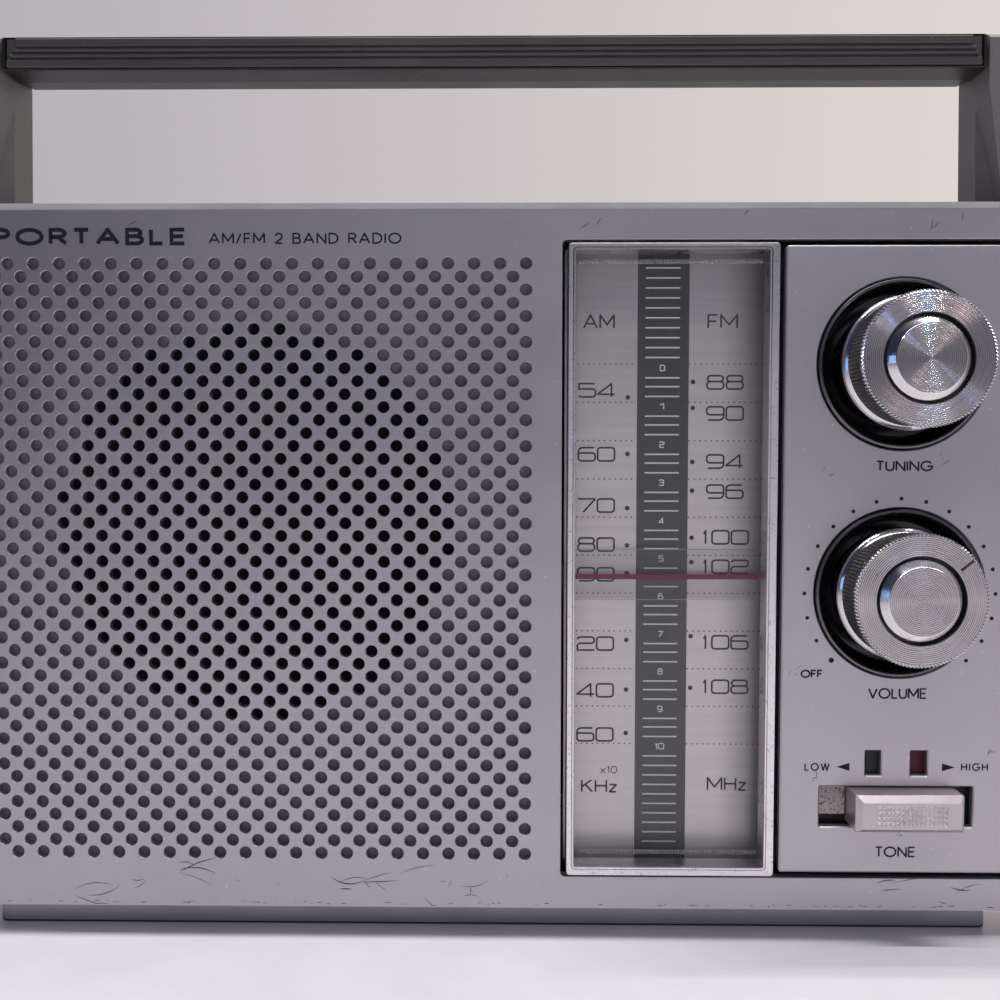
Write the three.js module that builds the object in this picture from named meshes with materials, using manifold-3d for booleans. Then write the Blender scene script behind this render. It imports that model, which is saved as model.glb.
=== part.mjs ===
// A tabletop AM/FM radio with a carrying handle, a slide-rule dial and a telescopic antenna.
// Millimetres. X runs to the right of the front face, Y runs to the back, Z is up.
// Inside this file the plane Y = 0 is the front face; the last lines centre the whole part in Y.
import * as THREE from 'three';
import { mergeVertices } from 'three/addons/utils/BufferGeometryUtils.js';
import { ConvexGeometry } from 'three/addons/geometries/ConvexGeometry.js';
import Module from 'manifold-3d';

const wasm = await Module();
wasm.setup();

// ---------------------------------------------------------------- driving dimensions
const GAP = 0.3; // between pieces that touch or move in one another
const WALL = 2.5;
const ROUND = 36; // sides on the large round pieces

const BEZEL = { half: 132, bottom: 5.2, top: 170.4, depth: 10, edge: 1, corner: 2.5 };
const FLANGE = { inset: 0.6, front: BEZEL.depth + GAP, thick: 2 };
const CABINET = { half: 118, bottom: 5.2, top: 168.4, back: 75, corner: 4 };
const PLINTH = { half: 118.2, top: CABINET.bottom - GAP, front: 3.2, back: 70, corner: 2.4, floor: 2.2 };
const OPENING = { left: 16.7, right: 123.1, bottom: 13.1, top: 161.6 };
const REBATE = { front: 60, bottom: 159, wall: 2.5 };

const SCREW_HEAD = 3.5;
const SCREWS = [[-109, 50], [109, 50], [-109, 148], [109, 148]];
const BOSS = { radius: 5, front: 56, bore: 1.9, sink: 2.2 };
const VENTS = { left: -86, right: -24, bottom: 66, pitch: 5.5, width: 2.2, count: 12 };
const JACK = { radius: 3, y: 48, z: 62 };
const BAND = { slotY: [44.7, 51.3], slotZ: [86, 106], slider: [86.3, 95.7], outside: 121 };
const INLET = { x: [88, 106], z: [84, 96], front: 60, back: 75.3, mouth: [14, 8, 10] };

const FRAME = { left: 18, right: 66.4, bottom: 13.7, top: 160.8, front: -0.9, back: 4.8 };
const GLASS = { left: 19.8, right: 64, bottom: 15.7, top: 159.2, front: 1.2, back: 3.2 };
const DIAL = { left: 17.7, right: 66.8, bottom: 13.9, top: 160.9, front: 9, back: 10 };
const PANEL = { left: 67.9, right: 122.5, bottom: 14.4, top: 160.3, thick: 2 };
const CHASSIS = { left: 17.7, right: 115, bottom: 12, top: 163, front: 11, back: 12.2 };

const TUNING = { x: 95.1, z: 133.2, pull: 1.8 }; // pull is how far the knob stands further out
const VOLUME = { x: 95.1, z: 80.3, pull: 0 };
const WELL = { hole: 19.8, lip: 0.6, wall: 0.9, back: 8 };
const KNOB = { radius: 15, flange: 15.5, base: 13.5, cap: 9.2, front: -13.6, capFront: -14.8, back: 6.2 };
const SHAFT = 3;

const CORD = { radius: 0.4, plane: 26, lane: 0.7, arcSteps: 3 };
const DRUM = { x: 58, z: 62, radius: 29.2 };
const SPINDLE = 4;
const PULLEY = { x: 18, radius: 3, top: 156, bottom: 20, axle: 1.2 };
const POINTER = { z: 83.25, low: 77.6, high: 89.8, front: 7.2, back: 8.4, right: 63.6 };

const SLOT = { left: 77.15, right: 112.9, bottom: 25.3, top: 34.9 };
const TONE = { left: 84, right: 108.8, front: -6 };
const WINDOWS = { left: [87.8, 91.5], right: [98.3, 102.2], bottom: 37.4, top: 43.3 };

const SPEAKER = { x: -54.6, z: 96.3, rim: 51, cone: 44, magnet: 21, back: 35 };
const CELL = { radius: 13.1, body: 48.1, nub: 1.5, count: 4, left: -104.4, pitch: 50.1 };
const TRAY = { half: 106.5, bottom: 8, top: 38.5, front: 42, wall: 1.4 };
const DOOR = { half: 101.7, bottom: 10.3, top: 37.7 };

const HANDLE = {
  pivotY: 22, pivotZ: 140, depth: 16, gripBack: 32, top: 213.3, under: 205.3, inner: 119.4, outer: 131,
};
const GRIP_END = 118.7;
const STRIP = { half: 117.8, bottom: 205.9, top: 212.9, thick: 1.2, ribs: [208.2, 209.4, 210.6] };

const BOARD = { x: [18, 104], y: [46, 47.6], z: [42, 152] };
const POT = { radius: 8.5, front: 12.6, back: 22.2 };
const FERRITE = { radius: 4.5, from: -85, to: 55, y: 50, z: 158.5, coil: [-60, -28], coilRadius: 6.6 };
const TRANSFORMER = { core: [[56, 90], [53, 69], [44, 74]], coils: [[60, 86], [50, 72], [50, 68]] };

const ANTENNA = { x: 105, y: 67.5, z: 164, tip: -110.5 };
const TUBES = [
  { outer: 3.5, bore: 3.1 },
  { outer: 2.8, bore: 2.4 },
  { outer: 2.1, bore: 1.7 },
];
const ROD = 1.4;

// ---------------------------------------------------------------- materials
const FINISH = {
  silverPaint: [0x8c8b93, 0.42, 0.55],
  cabinetPlastic: [0x3a393c, 0.55, 0],
  plinthPlastic: [0x4b4a50, 0.6, 0],
  chrome: [0xcfcdd2, 0.15, 1],
  clearPlastic: [0xdfe4ea, 0.05, 0],
  dialSilver: [0xa7a2a8, 0.4, 0.8],
  wellPlastic: [0x17171a, 0.4, 0],
  spunAluminium: [0xc3c1c6, 0.25, 1],
  handlePlastic: [0x3d3a3b, 0.5, 0],
  stripPlastic: [0x37353a, 0.4, 0],
  blackCloth: [0x101012, 0.95, 0],
  steel: [0x8d8f94, 0.35, 1],
  conePaper: [0x26241f, 0.9, 0],
  ferrite: [0x2b2a2c, 0.6, 0],
  copper: [0xb06a3a, 0.4, 0.8],
  board: [0x7a5a2c, 0.7, 0],
  innerPlastic: [0x26262a, 0.6, 0],
  pulleyPlastic: [0xe6e0d2, 0.5, 0],
  cordFibre: [0xc9bfa6, 0.9, 0],
  cellJacket: [0x2f4c7a, 0.35, 0.2],
  pointerRed: [0x8c1f3f, 0.35, 0],
  flagRed: [0x7a1424, 0.5, 0],
  magnetBlack: [0x3b3a3d, 0.5, 0.3],
};

const radio = new THREE.Group();

function addPiece(name, solid, finish) {
  const [color, roughness, metalness] = FINISH[finish];
  const material = new THREE.MeshStandardMaterial({ color, roughness, metalness });
  const mesh = new THREE.Mesh(toGeometry(solid), material);
  mesh.name = name;
  radio.add(mesh);
}

// ---------------------------------------------------------------- solids
// A closed three.js geometry as a solid that can be joined and cut.
function toSolid(geometry) {
  geometry.deleteAttribute('normal');
  geometry.deleteAttribute('uv');
  const merged = mergeVertices(geometry, 1e-4);
  const corner = merged.index.array;
  const kept = [];
  for (let i = 0; i < corner.length; i += 3) {
    const [a, b, c] = [corner[i], corner[i + 1], corner[i + 2]];
    if (a !== b && b !== c && c !== a) kept.push(a, b, c);
  }
  const points = merged.attributes.position.array;
  const triangles = signedVolume(points, kept) < 0 ? kept.reverse() : kept;
  return new wasm.Manifold(new wasm.Mesh({
    numProp: 3,
    vertProperties: new Float32Array(points),
    triVerts: new Uint32Array(triangles),
  }));
}

function signedVolume(points, triangles) {
  const at = (i) => new THREE.Vector3().fromArray(points, 3 * i);
  let volume = 0;
  for (let i = 0; i < triangles.length; i += 3) {
    volume += at(triangles[i]).dot(at(triangles[i + 1]).cross(at(triangles[i + 2])));
  }
  return volume;
}

function toGeometry(solid) {
  const mesh = solid.getMesh();
  const geometry = new THREE.BufferGeometry();
  geometry.setAttribute('position', new THREE.BufferAttribute(new Float32Array(mesh.vertProperties), 3));
  geometry.setIndex(new THREE.BufferAttribute(new Uint32Array(mesh.triVerts), 1));
  geometry.computeVertexNormals();
  return geometry;
}

function box(x, y, z) {
  const geometry = new THREE.BoxGeometry(x[1] - x[0], y[1] - y[0], z[1] - z[0]);
  geometry.translate((x[0] + x[1]) / 2, (y[0] + y[1]) / 2, (z[0] + z[1]) / 2);
  return toSolid(geometry);
}

function roundedRectangle(left, right, bottom, top, radius) {
  const shape = new THREE.Shape();
  const quarter = Math.PI / 2;
  shape.absarc(right - radius, top - radius, radius, 0, quarter);
  shape.absarc(left + radius, top - radius, radius, quarter, 2 * quarter);
  shape.absarc(left + radius, bottom + radius, radius, 2 * quarter, 3 * quarter);
  shape.absarc(right - radius, bottom + radius, radius, 3 * quarter, 4 * quarter);
  return shape;
}

// An outline in X and Z, thick from front to back in Y. An edge chamfers both rims.
function slab(shape, front, back, edge = 0, arcSteps = 2) {
  const geometry = new THREE.ExtrudeGeometry(shape, {
    depth: back - front - 2 * edge,
    bevelEnabled: edge > 0,
    bevelThickness: edge,
    bevelSize: edge,
    bevelOffset: -edge,
    bevelSegments: 1,
    curveSegments: arcSteps,
  });
  geometry.rotateX(Math.PI / 2);
  geometry.translate(0, back - edge, 0);
  return toSolid(geometry);
}

// An outline in X and Y, thick from bottom to top in Z.
function plate(shape, bottom, top, arcSteps = 2) {
  const geometry = new THREE.ExtrudeGeometry(shape, {
    depth: top - bottom, bevelEnabled: false, curveSegments: arcSteps,
  });
  geometry.translate(0, 0, bottom);
  return toSolid(geometry);
}

// An outline in Y and Z, thick from left to right in X.
function section(shape, left, right, arcSteps = 4) {
  const geometry = new THREE.ExtrudeGeometry(shape, {
    depth: right - left, bevelEnabled: false, curveSegments: arcSteps,
  });
  const turn = new THREE.Matrix4().makeBasis(
    new THREE.Vector3(0, 1, 0), new THREE.Vector3(0, 0, 1), new THREE.Vector3(1, 0, 0));
  geometry.applyMatrix4(turn);
  geometry.translate(left, 0, 0);
  return toSolid(geometry);
}

// A profile of [radius, distance along the axis] turned about an axis through the given place.
function turned(profile, axis, place, sides = 24) {
  const points = profile.map(([radius, along]) => new THREE.Vector2(radius, along));
  const geometry = new THREE.LatheGeometry(points, sides);
  if (axis === 'x') geometry.rotateZ(-Math.PI / 2);
  if (axis === 'z') geometry.rotateX(Math.PI / 2);
  geometry.translate(...place);
  return toSolid(geometry);
}

function rod(radius, from, to, axis, place, sides = 16) {
  return turned([[0, from], [radius, from], [radius, to], [0, to]], axis, place, sides);
}

function ring(bore, radius, from, to, axis, place, sides = 24) {
  const profile = [[bore, from], [radius, from], [radius, to], [bore, to], [bore, from]];
  return turned(profile, axis, place, sides);
}

// ---------------------------------------------------------------- case
function frontBezel() {
  const { half, bottom, top, depth, edge, corner } = BEZEL;
  const outside = slab(roundedRectangle(-half, half, bottom, top, corner), 0, depth, edge);
  const pocket = box([-half + WALL, half - WALL], [WALL, depth + 1], [bottom + WALL, top - WALL]);
  const window = box([OPENING.left, OPENING.right], [-1, WALL + 1], [OPENING.bottom, OPENING.top]);
  return outside.subtract(pocket).subtract(window);
}

function rearCabinet() {
  const { half, bottom, top, back, corner } = CABINET;
  const front = FLANGE.front;
  const flange = slab(
    roundedRectangle(-BEZEL.half + FLANGE.inset, BEZEL.half - FLANGE.inset,
      BEZEL.bottom + FLANGE.inset, BEZEL.top - FLANGE.inset, BEZEL.corner),
    front, front + FLANGE.thick);
  const shell = slab(roundedRectangle(-half, half, bottom, top, corner), front + 1, back);
  const inside = box([-half + WALL, half - WALL], [front - 1, back - WALL], [bottom + WALL, top - WALL]);
  const trough = box([-half + 1, half - 1], [REBATE.front - REBATE.wall, back - 1],
    [REBATE.bottom - REBATE.wall, top - 1]);
  let body = flange.add(shell).subtract(inside).add(trough);
  for (const [x, z] of SCREWS) {
    body = body.add(rod(BOSS.radius, BOSS.front, back - 1, 'y', [x, 0, z], 12));
  }
  const rebate = box([-half - 1, half + 1], [REBATE.front, back + 1], [REBATE.bottom, top + 1]);
  const doorway = box([-DOOR.half - GAP, DOOR.half + GAP], [back - WALL - 1, back + 1],
    [DOOR.bottom - GAP, DOOR.top + GAP]);
  body = body.subtract(rebate).subtract(doorway);
  for (const [x, z] of SCREWS) {
    body = body.subtract(rod(BOSS.bore, BOSS.front - 1, back + 1, 'y', [x, 0, z], 12));
    body = body.subtract(rod(SCREW_HEAD + GAP, back - BOSS.sink, back + 1, 'y', [x, 0, z], 14));
  }
  for (let i = 0; i < VENTS.count; i += 1) {
    const z = VENTS.bottom + i * VENTS.pitch;
    body = body.subtract(box([VENTS.left, VENTS.right], [back - WALL - 1, back + 1], [z, z + VENTS.width]));
  }
  for (const side of [-1, 1]) {
    const place = [0, HANDLE.pivotY, HANDLE.pivotZ];
    const [near, far] = [side * (half - WALL - 1), side * (half + 1)];
    body = body.subtract(rod(SHAFT + GAP, Math.min(near, far), Math.max(near, far), 'x', place));
  }
  body = body.subtract(rod(JACK.radius + GAP, half - WALL - 1, half + 1, 'x', [0, JACK.y, JACK.z], 14));
  body = body.subtract(box([half - WALL - 1, half + 1], BAND.slotY, BAND.slotZ));
  body = body.subtract(box(INLET.x.map((x, i) => x + (i ? GAP : -GAP)), [back - WALL - 1, back + 1],
    INLET.z.map((z, i) => z + (i ? GAP : -GAP))));
  return body;
}

function basePlinth() {
  const { half, top, front, back, corner, floor } = PLINTH;
  const outline = roundedRectangle(-half, half, front, back, corner);
  const hollow = roundedRectangle(-half + WALL, half - WALL, front + WALL, back - WALL, 0.8);
  return plate(outline, 0, top).subtract(plate(hollow, floor, top + 1));
}

function caseScrew([x, z]) {
  const head = rod(SCREW_HEAD, CABINET.back - 1.9, CABINET.back, 'y', [x, 0, z], 14);
  const shank = rod(1.5, 58, CABINET.back - 1, 'y', [x, 0, z], 12);
  const cross = box([x - 2, x + 2], [CABINET.back - 0.9, CABINET.back + 1], [z - 0.4, z + 0.4]);
  const bar = box([x - 0.4, x + 0.4], [CABINET.back - 0.9, CABINET.back + 1], [z - 2, z + 2]);
  return head.add(shank).subtract(cross).subtract(bar);
}

function batteryDoor() {
  const [front, back] = [CABINET.back - WALL, CABINET.back];
  const radius = WALL / 2;
  const profile = new THREE.Shape();
  profile.moveTo(back, DOOR.top);
  profile.lineTo(front, DOOR.top);
  profile.lineTo(front, DOOR.bottom + radius);
  profile.absarc(front + radius, DOOR.bottom + radius, radius, Math.PI, 2 * Math.PI);
  const cover = section(profile, -DOOR.half, DOOR.half);
  const grip = box([-12, 12], [back - 0.8, back + 1], [DOOR.top - 7, DOOR.top - 2]);
  return cover.subtract(grip);
}

// ---------------------------------------------------------------- dial and panel
function dialFrame() {
  const outside = slab(roundedRectangle(FRAME.left, FRAME.right, FRAME.bottom, FRAME.top, 1.2),
    FRAME.front, FRAME.back, 0.4);
  const inside = slab(roundedRectangle(GLASS.left, GLASS.right, GLASS.bottom, GLASS.top, 0.8),
    FRAME.front - 1, FRAME.back + 1);
  return outside.subtract(inside);
}

function dialLens() {
  return slab(roundedRectangle(GLASS.left + GAP, GLASS.right - GAP, GLASS.bottom + GAP,
    GLASS.top - GAP, 0.6), GLASS.front, GLASS.back);
}

function dialPlate() {
  return box([DIAL.left, DIAL.right], [DIAL.front, DIAL.back], [DIAL.bottom, DIAL.top]);
}

function controlPanel() {
  let body = slab(roundedRectangle(PANEL.left, PANEL.right, PANEL.bottom, PANEL.top, 0.8), 0, PANEL.thick);
  for (const { x, z } of [TUNING, VOLUME]) {
    body = body.subtract(rod(WELL.hole, -1, PANEL.thick + 1, 'y', [x, 0, z], ROUND));
  }
  body = body.subtract(box([SLOT.left, SLOT.right], [-1, PANEL.thick + 1], [SLOT.bottom, SLOT.top]));
  for (const side of [WINDOWS.left, WINDOWS.right]) {
    body = body.subtract(box(side, [-1, PANEL.thick + 1], [WINDOWS.bottom, WINDOWS.top]));
  }
  return body;
}

function knobWell({ x, z }) {
  const outer = WELL.hole - GAP;
  const inner = outer - WELL.wall;
  return turned([
    [SHAFT + GAP, WELL.back - WELL.wall], [inner - 0.6, WELL.back - WELL.wall], [inner, WELL.back - 1.8],
    [inner, 0], [outer - 0.3, -WELL.lip], [outer, -WELL.lip], [outer, WELL.back],
    [SHAFT + GAP, WELL.back], [SHAFT + GAP, WELL.back - WELL.wall],
  ], 'y', [x, 0, z], ROUND);
}

function dialChassis() {
  const { left, right, bottom, top, front, back } = CHASSIS;
  let body = box([left, right], [front, back], [bottom, top]);
  for (const [low, high] of [[PULLEY.top - 6, top], [bottom, PULLEY.bottom + 6]]) {
    body = body.add(box([PULLEY.x - 4, left + 1], [front, back], [low, high]));
  }
  for (const z of [PULLEY.top, PULLEY.bottom]) {
    body = body.add(rod(PULLEY.axle, front + 0.5, CORD.plane + 3, 'y', [PULLEY.x, 0, z], 12));
  }
  for (const { x, z } of [TUNING, VOLUME]) {
    body = body.subtract(rod(SHAFT + GAP, front - 1, back + 1, 'y', [x, 0, z], 14));
  }
  return body;
}

// ---------------------------------------------------------------- knobs
function knob({ x, z, pull }) {
  const { radius, flange, base, cap, front, back } = KNOB;
  const pocket = cap + GAP;
  return turned([
    [0, front + 1.8], [pocket, front + 1.8], [pocket, front], [radius - 0.8, front], [radius, front + 0.8],
    [radius, -2], [flange, -1.7], [flange, -0.7], [base, -0.4], [base, back],
    [SHAFT + GAP, back], [SHAFT + GAP, front + 3.8], [0, front + 3.8],
  ], 'y', [x, -pull, z], ROUND);
}

function knobCap({ x, z, pull }) {
  const { cap, front, capFront } = KNOB;
  return turned([[0, capFront], [cap - 1.5, capFront], [cap - 0.1, front + 0.1], [cap, front + 0.4],
    [cap, front + 1.5], [0, front + 1.5]], 'y', [x, -pull, z], 32);
}

function tuningSpindle() {
  const groove = SPINDLE - CORD.radius - GAP;
  const [low, high] = [CORD.plane - 2, CORD.plane + 2];
  const front = KNOB.front + 3.8 + GAP - TUNING.pull;
  return turned([
    [0, front], [SHAFT, front], [SHAFT, low - 0.8], [SPINDLE + 1, low - 0.8], [SPINDLE + 1, low],
    [groove, low], [groove, high], [SPINDLE + 1, high], [SPINDLE + 1, high + 0.8], [2, high + 0.8],
    [2, high + 3], [0, high + 3],
  ], 'y', [TUNING.x, 0, TUNING.z], 16);
}

// ---------------------------------------------------------------- cord drive
function cordDrum() {
  const groove = DRUM.radius - CORD.radius - GAP;
  const [low, high] = [CORD.plane - 2.2, CORD.plane + 2.2];
  return turned([
    [2.3, low], [6, low], [6, CORD.plane - 0.8], [groove - 2, CORD.plane - 0.8], [groove - 2, low],
    [DRUM.radius + 0.8, low], [DRUM.radius + 0.8, low + 0.6], [groove, low + 0.8], [groove, high - 0.8],
    [DRUM.radius + 0.8, high - 0.6], [DRUM.radius + 0.8, high], [groove - 2, high],
    [groove - 2, CORD.plane + 0.8], [6, CORD.plane + 0.8], [6, high], [2.3, high], [2.3, low],
  ], 'y', [DRUM.x, 0, DRUM.z], ROUND);
}

function cordPulley(z) {
  const groove = PULLEY.radius - CORD.radius - GAP;
  const [low, high] = [CORD.plane - 1.9, CORD.plane + 1.9];
  const bore = PULLEY.axle + GAP;
  return turned([
    [bore, low], [PULLEY.radius + 0.8, low], [PULLEY.radius + 0.8, low + 0.4], [groove, low + 0.6],
    [groove, high - 0.6], [PULLEY.radius + 0.8, high - 0.4], [PULLEY.radius + 0.8, high], [bore, high],
    [bore, low],
  ], 'y', [PULLEY.x, 0, z], 14);
}

// The wheels that the cord passes, in order, with the way it turns on each seen from the front:
// 1 is anticlockwise and -1 is clockwise. It starts and ends tied to the drum, in two lanes.
function cordWheels() {
  const front = CORD.plane - CORD.lane;
  const back = CORD.plane + CORD.lane;
  return [
    { x: DRUM.x, z: DRUM.z, radius: DRUM.radius, way: 1, lanes: [back, back] },
    { x: TUNING.x, z: TUNING.z, radius: SPINDLE, way: -1, lanes: [back, front] },
    { x: PULLEY.x, z: PULLEY.top, radius: PULLEY.radius, way: 1, lanes: [front, front] },
    { x: PULLEY.x, z: PULLEY.bottom, radius: PULLEY.radius, way: 1, lanes: [front, front] },
    { x: DRUM.x, z: DRUM.z, radius: DRUM.radius, way: 1, lanes: [front, front] },
  ];
}

// The heading, in the XZ plane, of the straight run from one wheel to the next.
function headingBetween(from, to) {
  const [dx, dz] = [to.x - from.x, to.z - from.z];
  const offset = to.way * to.radius - from.way * from.radius;
  return Math.atan2(dz, dx) - Math.asin(offset / Math.hypot(dx, dz));
}

function cordRoute() {
  const wheels = cordWheels();
  const tiedWrap = THREE.MathUtils.degToRad(185);
  const points = [];
  wheels.forEach((wheel, i) => {
    const quarter = wheel.way * Math.PI / 2;
    const arrive = i > 0 ? headingBetween(wheels[i - 1], wheel) - quarter : null;
    const leave = i < wheels.length - 1 ? headingBetween(wheel, wheels[i + 1]) - quarter : null;
    const start = arrive ?? leave - wheel.way * tiedWrap;
    let sweep = (leave ?? start + wheel.way * tiedWrap) - start;
    while (sweep * wheel.way < 0) sweep += wheel.way * 2 * Math.PI;
    while (sweep * wheel.way > 2 * Math.PI) sweep -= wheel.way * 2 * Math.PI;
    const steps = Math.ceil(Math.abs(sweep) / (wheel.radius > 10 ? 0.16 : 0.4));
    for (let k = 0; k <= steps; k += 1) {
      const angle = start + sweep * k / steps;
      const y = THREE.MathUtils.lerp(wheel.lanes[0], wheel.lanes[1], k / steps);
      points.push(new THREE.Vector3(
        wheel.x + wheel.radius * Math.cos(angle), y, wheel.z + wheel.radius * Math.sin(angle)));
    }
  });
  return points;
}

// A curve that visits its points one by one, so that long straight runs take a single step.
class Route extends THREE.Curve {
  constructor(points) {
    super();
    this.points = points;
  }

  getPoint(t, target = new THREE.Vector3()) {
    const place = t * (this.points.length - 1);
    const i = Math.min(Math.floor(place + 1e-6), this.points.length - 2);
    return target.lerpVectors(this.points[i], this.points[i + 1], place - i);
  }

  getPointAt(u, target) {
    return this.getPoint(u, target);
  }

  getTangentAt(u, target = new THREE.Vector3()) {
    const i = Math.round(u * (this.points.length - 1));
    const before = this.points[Math.max(i - 1, 0)];
    const here = this.points[i];
    const after = this.points[Math.min(i + 1, this.points.length - 1)];
    const into = here.clone().sub(before).normalize();
    const out = after.clone().sub(here).normalize();
    return target.copy(into.add(out)).normalize();
  }
}

function dialCord() {
  const route = new Route(cordRoute());
  const circle = new THREE.Shape();
  circle.absarc(0, 0, CORD.radius, 0, 2 * Math.PI);
  return toSolid(new THREE.ExtrudeGeometry(circle, {
    steps: route.points.length - 1, extrudePath: route, curveSegments: CORD.arcSteps,
  }));
}

function pointerPlate() {
  const cordX = PULLEY.x - PULLEY.radius;
  const cordY = CORD.plane - CORD.lane;
  const [low, high] = [POINTER.z - 3, POINTER.z + 3];
  const window = box([GLASS.left - 1.5, POINTER.right], [POINTER.front, POINTER.back],
    [POINTER.low, POINTER.high]);
  const arm = box([cordX - 2, GLASS.left - 1], [POINTER.front, POINTER.back], [low, high]);
  const leg = box([cordX - 2, cordX + 2], [POINTER.front, cordY + 2], [low, high]);
  const hole = rod(CORD.radius + GAP + 0.1, -4, 4, 'z', [cordX, cordY, POINTER.z], 12);
  return window.add(arm).add(leg).subtract(hole);
}

function pointerLine() {
  return box([GLASS.left + 0.5, POINTER.right], [POINTER.front - 1, POINTER.front - GAP],
    [POINTER.z - 0.6, POINTER.z + 0.6]);
}

// ---------------------------------------------------------------- tone and band switches
function toneSwitch() {
  const body = box([SLOT.left - 2, SLOT.right + 2], [3.9, CHASSIS.front - GAP], [22, 46]);
  const track = box([TONE.left - 6, TONE.right + 0.5], [3, 6.5], [28.6, 31.8]);
  return body.subtract(track);
}

function toneKnob() {
  const [low, high] = [SLOT.bottom + 0.6, SLOT.top - 0.4];
  const profile = new THREE.Shape();
  profile.moveTo(TONE.left, 2.9);
  profile.lineTo(TONE.right, 2.9);
  profile.lineTo(TONE.right, TONE.front + 0.8);
  profile.lineTo(TONE.right - 0.8, TONE.front);
  profile.lineTo(TONE.left + 1.6, TONE.front);
  profile.lineTo(TONE.left, TONE.front + 2);
  const grip = plate(profile, low, high);
  const foot = box([TONE.left + 6, TONE.right - 6], [2, 6], [29.2, 31.2]);
  return grip.add(foot);
}

function toneFlag() {
  return box([WINDOWS.left[0] + 0.9, WINDOWS.right[1] + 4], [2.4, 3.2],
    [WINDOWS.bottom - 0.8, WINDOWS.top + 1.2]);
}

function bandSwitch() {
  const { slotY, slotZ } = BAND;
  const inside = CABINET.half - WALL;
  const body = box([inside - 9, inside - GAP], [slotY[0] - 2, slotY[1] + 2], [slotZ[0] - 4, slotZ[1] + 4]);
  const track = box([inside - 4, inside + 1], slotY, slotZ);
  return body.subtract(track);
}

function bandSlider() {
  const [low, high] = BAND.slotY;
  const inside = CABINET.half - WALL - 4 + GAP;
  let body = box([inside, BAND.outside], [low + GAP, high - GAP], BAND.slider);
  for (let i = 0; i < 4; i += 1) {
    const z = BAND.slider[0] + 1.6 + 1.8 * i;
    body = body.subtract(box([BAND.outside - 0.6, BAND.outside + 1], [low, high], [z, z + 0.8]));
  }
  return body;
}

// ---------------------------------------------------------------- speaker
function speakerCloth() {
  return rod(SPEAKER.rim - 2, WALL + GAP, WALL + 0.9, 'y', [SPEAKER.x, 0, SPEAKER.z], 32);
}

function speakerBasket() {
  const { rim, cone, back, magnet } = SPEAKER;
  const front = WALL + 1.2;
  return turned([
    [cone + 1, front], [rim, front], [rim, front + 1.6], [cone + 3, front + 1.6], [magnet + 4, back - 6],
    [magnet + 4, back], [11, back], [11, back - 1.4], [magnet + 2, back - 1.4], [magnet + 2, back - 6.5],
    [cone + 1, front + 1.4], [cone + 1, front],
  ], 'y', [SPEAKER.x, 0, SPEAKER.z], 28);
}

function speakerCone() {
  const { cone, magnet } = SPEAKER;
  const front = WALL + 1.2;
  return turned([
    [0, 18], [8, 20.5], [10, 23.5], [cone - 2, front + 0.6], [cone + 0.6, front + 0.6],
    [cone + 0.6, front + 1.4], [cone - 1, front + 1.6], [10, 25], [10, 31], [9, 31], [9, 24.5],
    [7.4, 21.6], [0, 19],
  ], 'y', [SPEAKER.x, 0, SPEAKER.z], 28);
}

function speakerMagnet() {
  const front = SPEAKER.back + GAP;
  return turned([
    [0, 25.4], [7.6, 25.4], [7.6, front + 0.8], [11, front + 0.8], [11, front],
    [SPEAKER.magnet, front], [SPEAKER.magnet, front + 11.5], [0, front + 11.5],
  ], 'y', [SPEAKER.x, 0, SPEAKER.z], 24);
}

// ---------------------------------------------------------------- electronics
function circuitBoard() {
  return box(BOARD.x, BOARD.y, BOARD.z);
}

function tuningCapacitor() {
  const block = box([DRUM.x - 13, DRUM.x + 13], [29.5, 45.7], [DRUM.z - 13, DRUM.z + 13]);
  return block.add(rod(2, CORD.plane - 3, 30, 'y', [DRUM.x, 0, DRUM.z], 16));
}

function volumePotentiometer() {
  const { radius, front, back } = POT;
  const bore = SHAFT + GAP;
  const profile = [[bore, front], [radius, front], [radius, back - 0.7], [radius - 0.7, back], [bore, back],
    [bore, front]];
  return turned(profile, 'y', [VOLUME.x, 0, VOLUME.z], 20);
}

function volumeShaft() {
  return rod(SHAFT, KNOB.front + 3.8 + GAP, 22, 'y', [VOLUME.x, 0, VOLUME.z]);
}

function ferriteRod() {
  return rod(FERRITE.radius, FERRITE.from, FERRITE.to, 'x', [0, FERRITE.y, FERRITE.z]);
}

function ferriteCoil() {
  const { radius, coil, coilRadius, y, z } = FERRITE;
  return ring(radius + GAP, coilRadius, coil[0], coil[1], 'x', [0, y, z], 24);
}

function transformer() {
  return box(...TRANSFORMER.core).add(box(...TRANSFORMER.coils));
}

function acInlet() {
  const { x, z, front, back, mouth } = INLET;
  const [cx, cz] = [(x[0] + x[1]) / 2, (z[0] + z[1]) / 2];
  const [width, height, depth] = mouth;
  let body = box(x, [front, back], z);
  body = body.subtract(box([cx - width / 2, cx + width / 2], [back - depth, back + 1],
    [cz - height / 2, cz + height / 2]));
  for (const side of [-1, 1]) {
    body = body.add(rod(1.1, back - depth - 1, back - 2, 'y', [cx + side * 4.6, 0, cz], 12));
  }
  return body;
}

function earphoneJack() {
  const flange = CABINET.half + GAP;
  return turned([[1.8, 104], [5, 104], [5, CABINET.half - WALL - GAP],
    [JACK.radius, CABINET.half - WALL - GAP], [JACK.radius, flange], [4.6, flange],
    [4.6, flange + 0.8], [1.8, flange + 0.8], [1.8, 104]], 'x', [0, JACK.y, JACK.z], 14);
}

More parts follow.
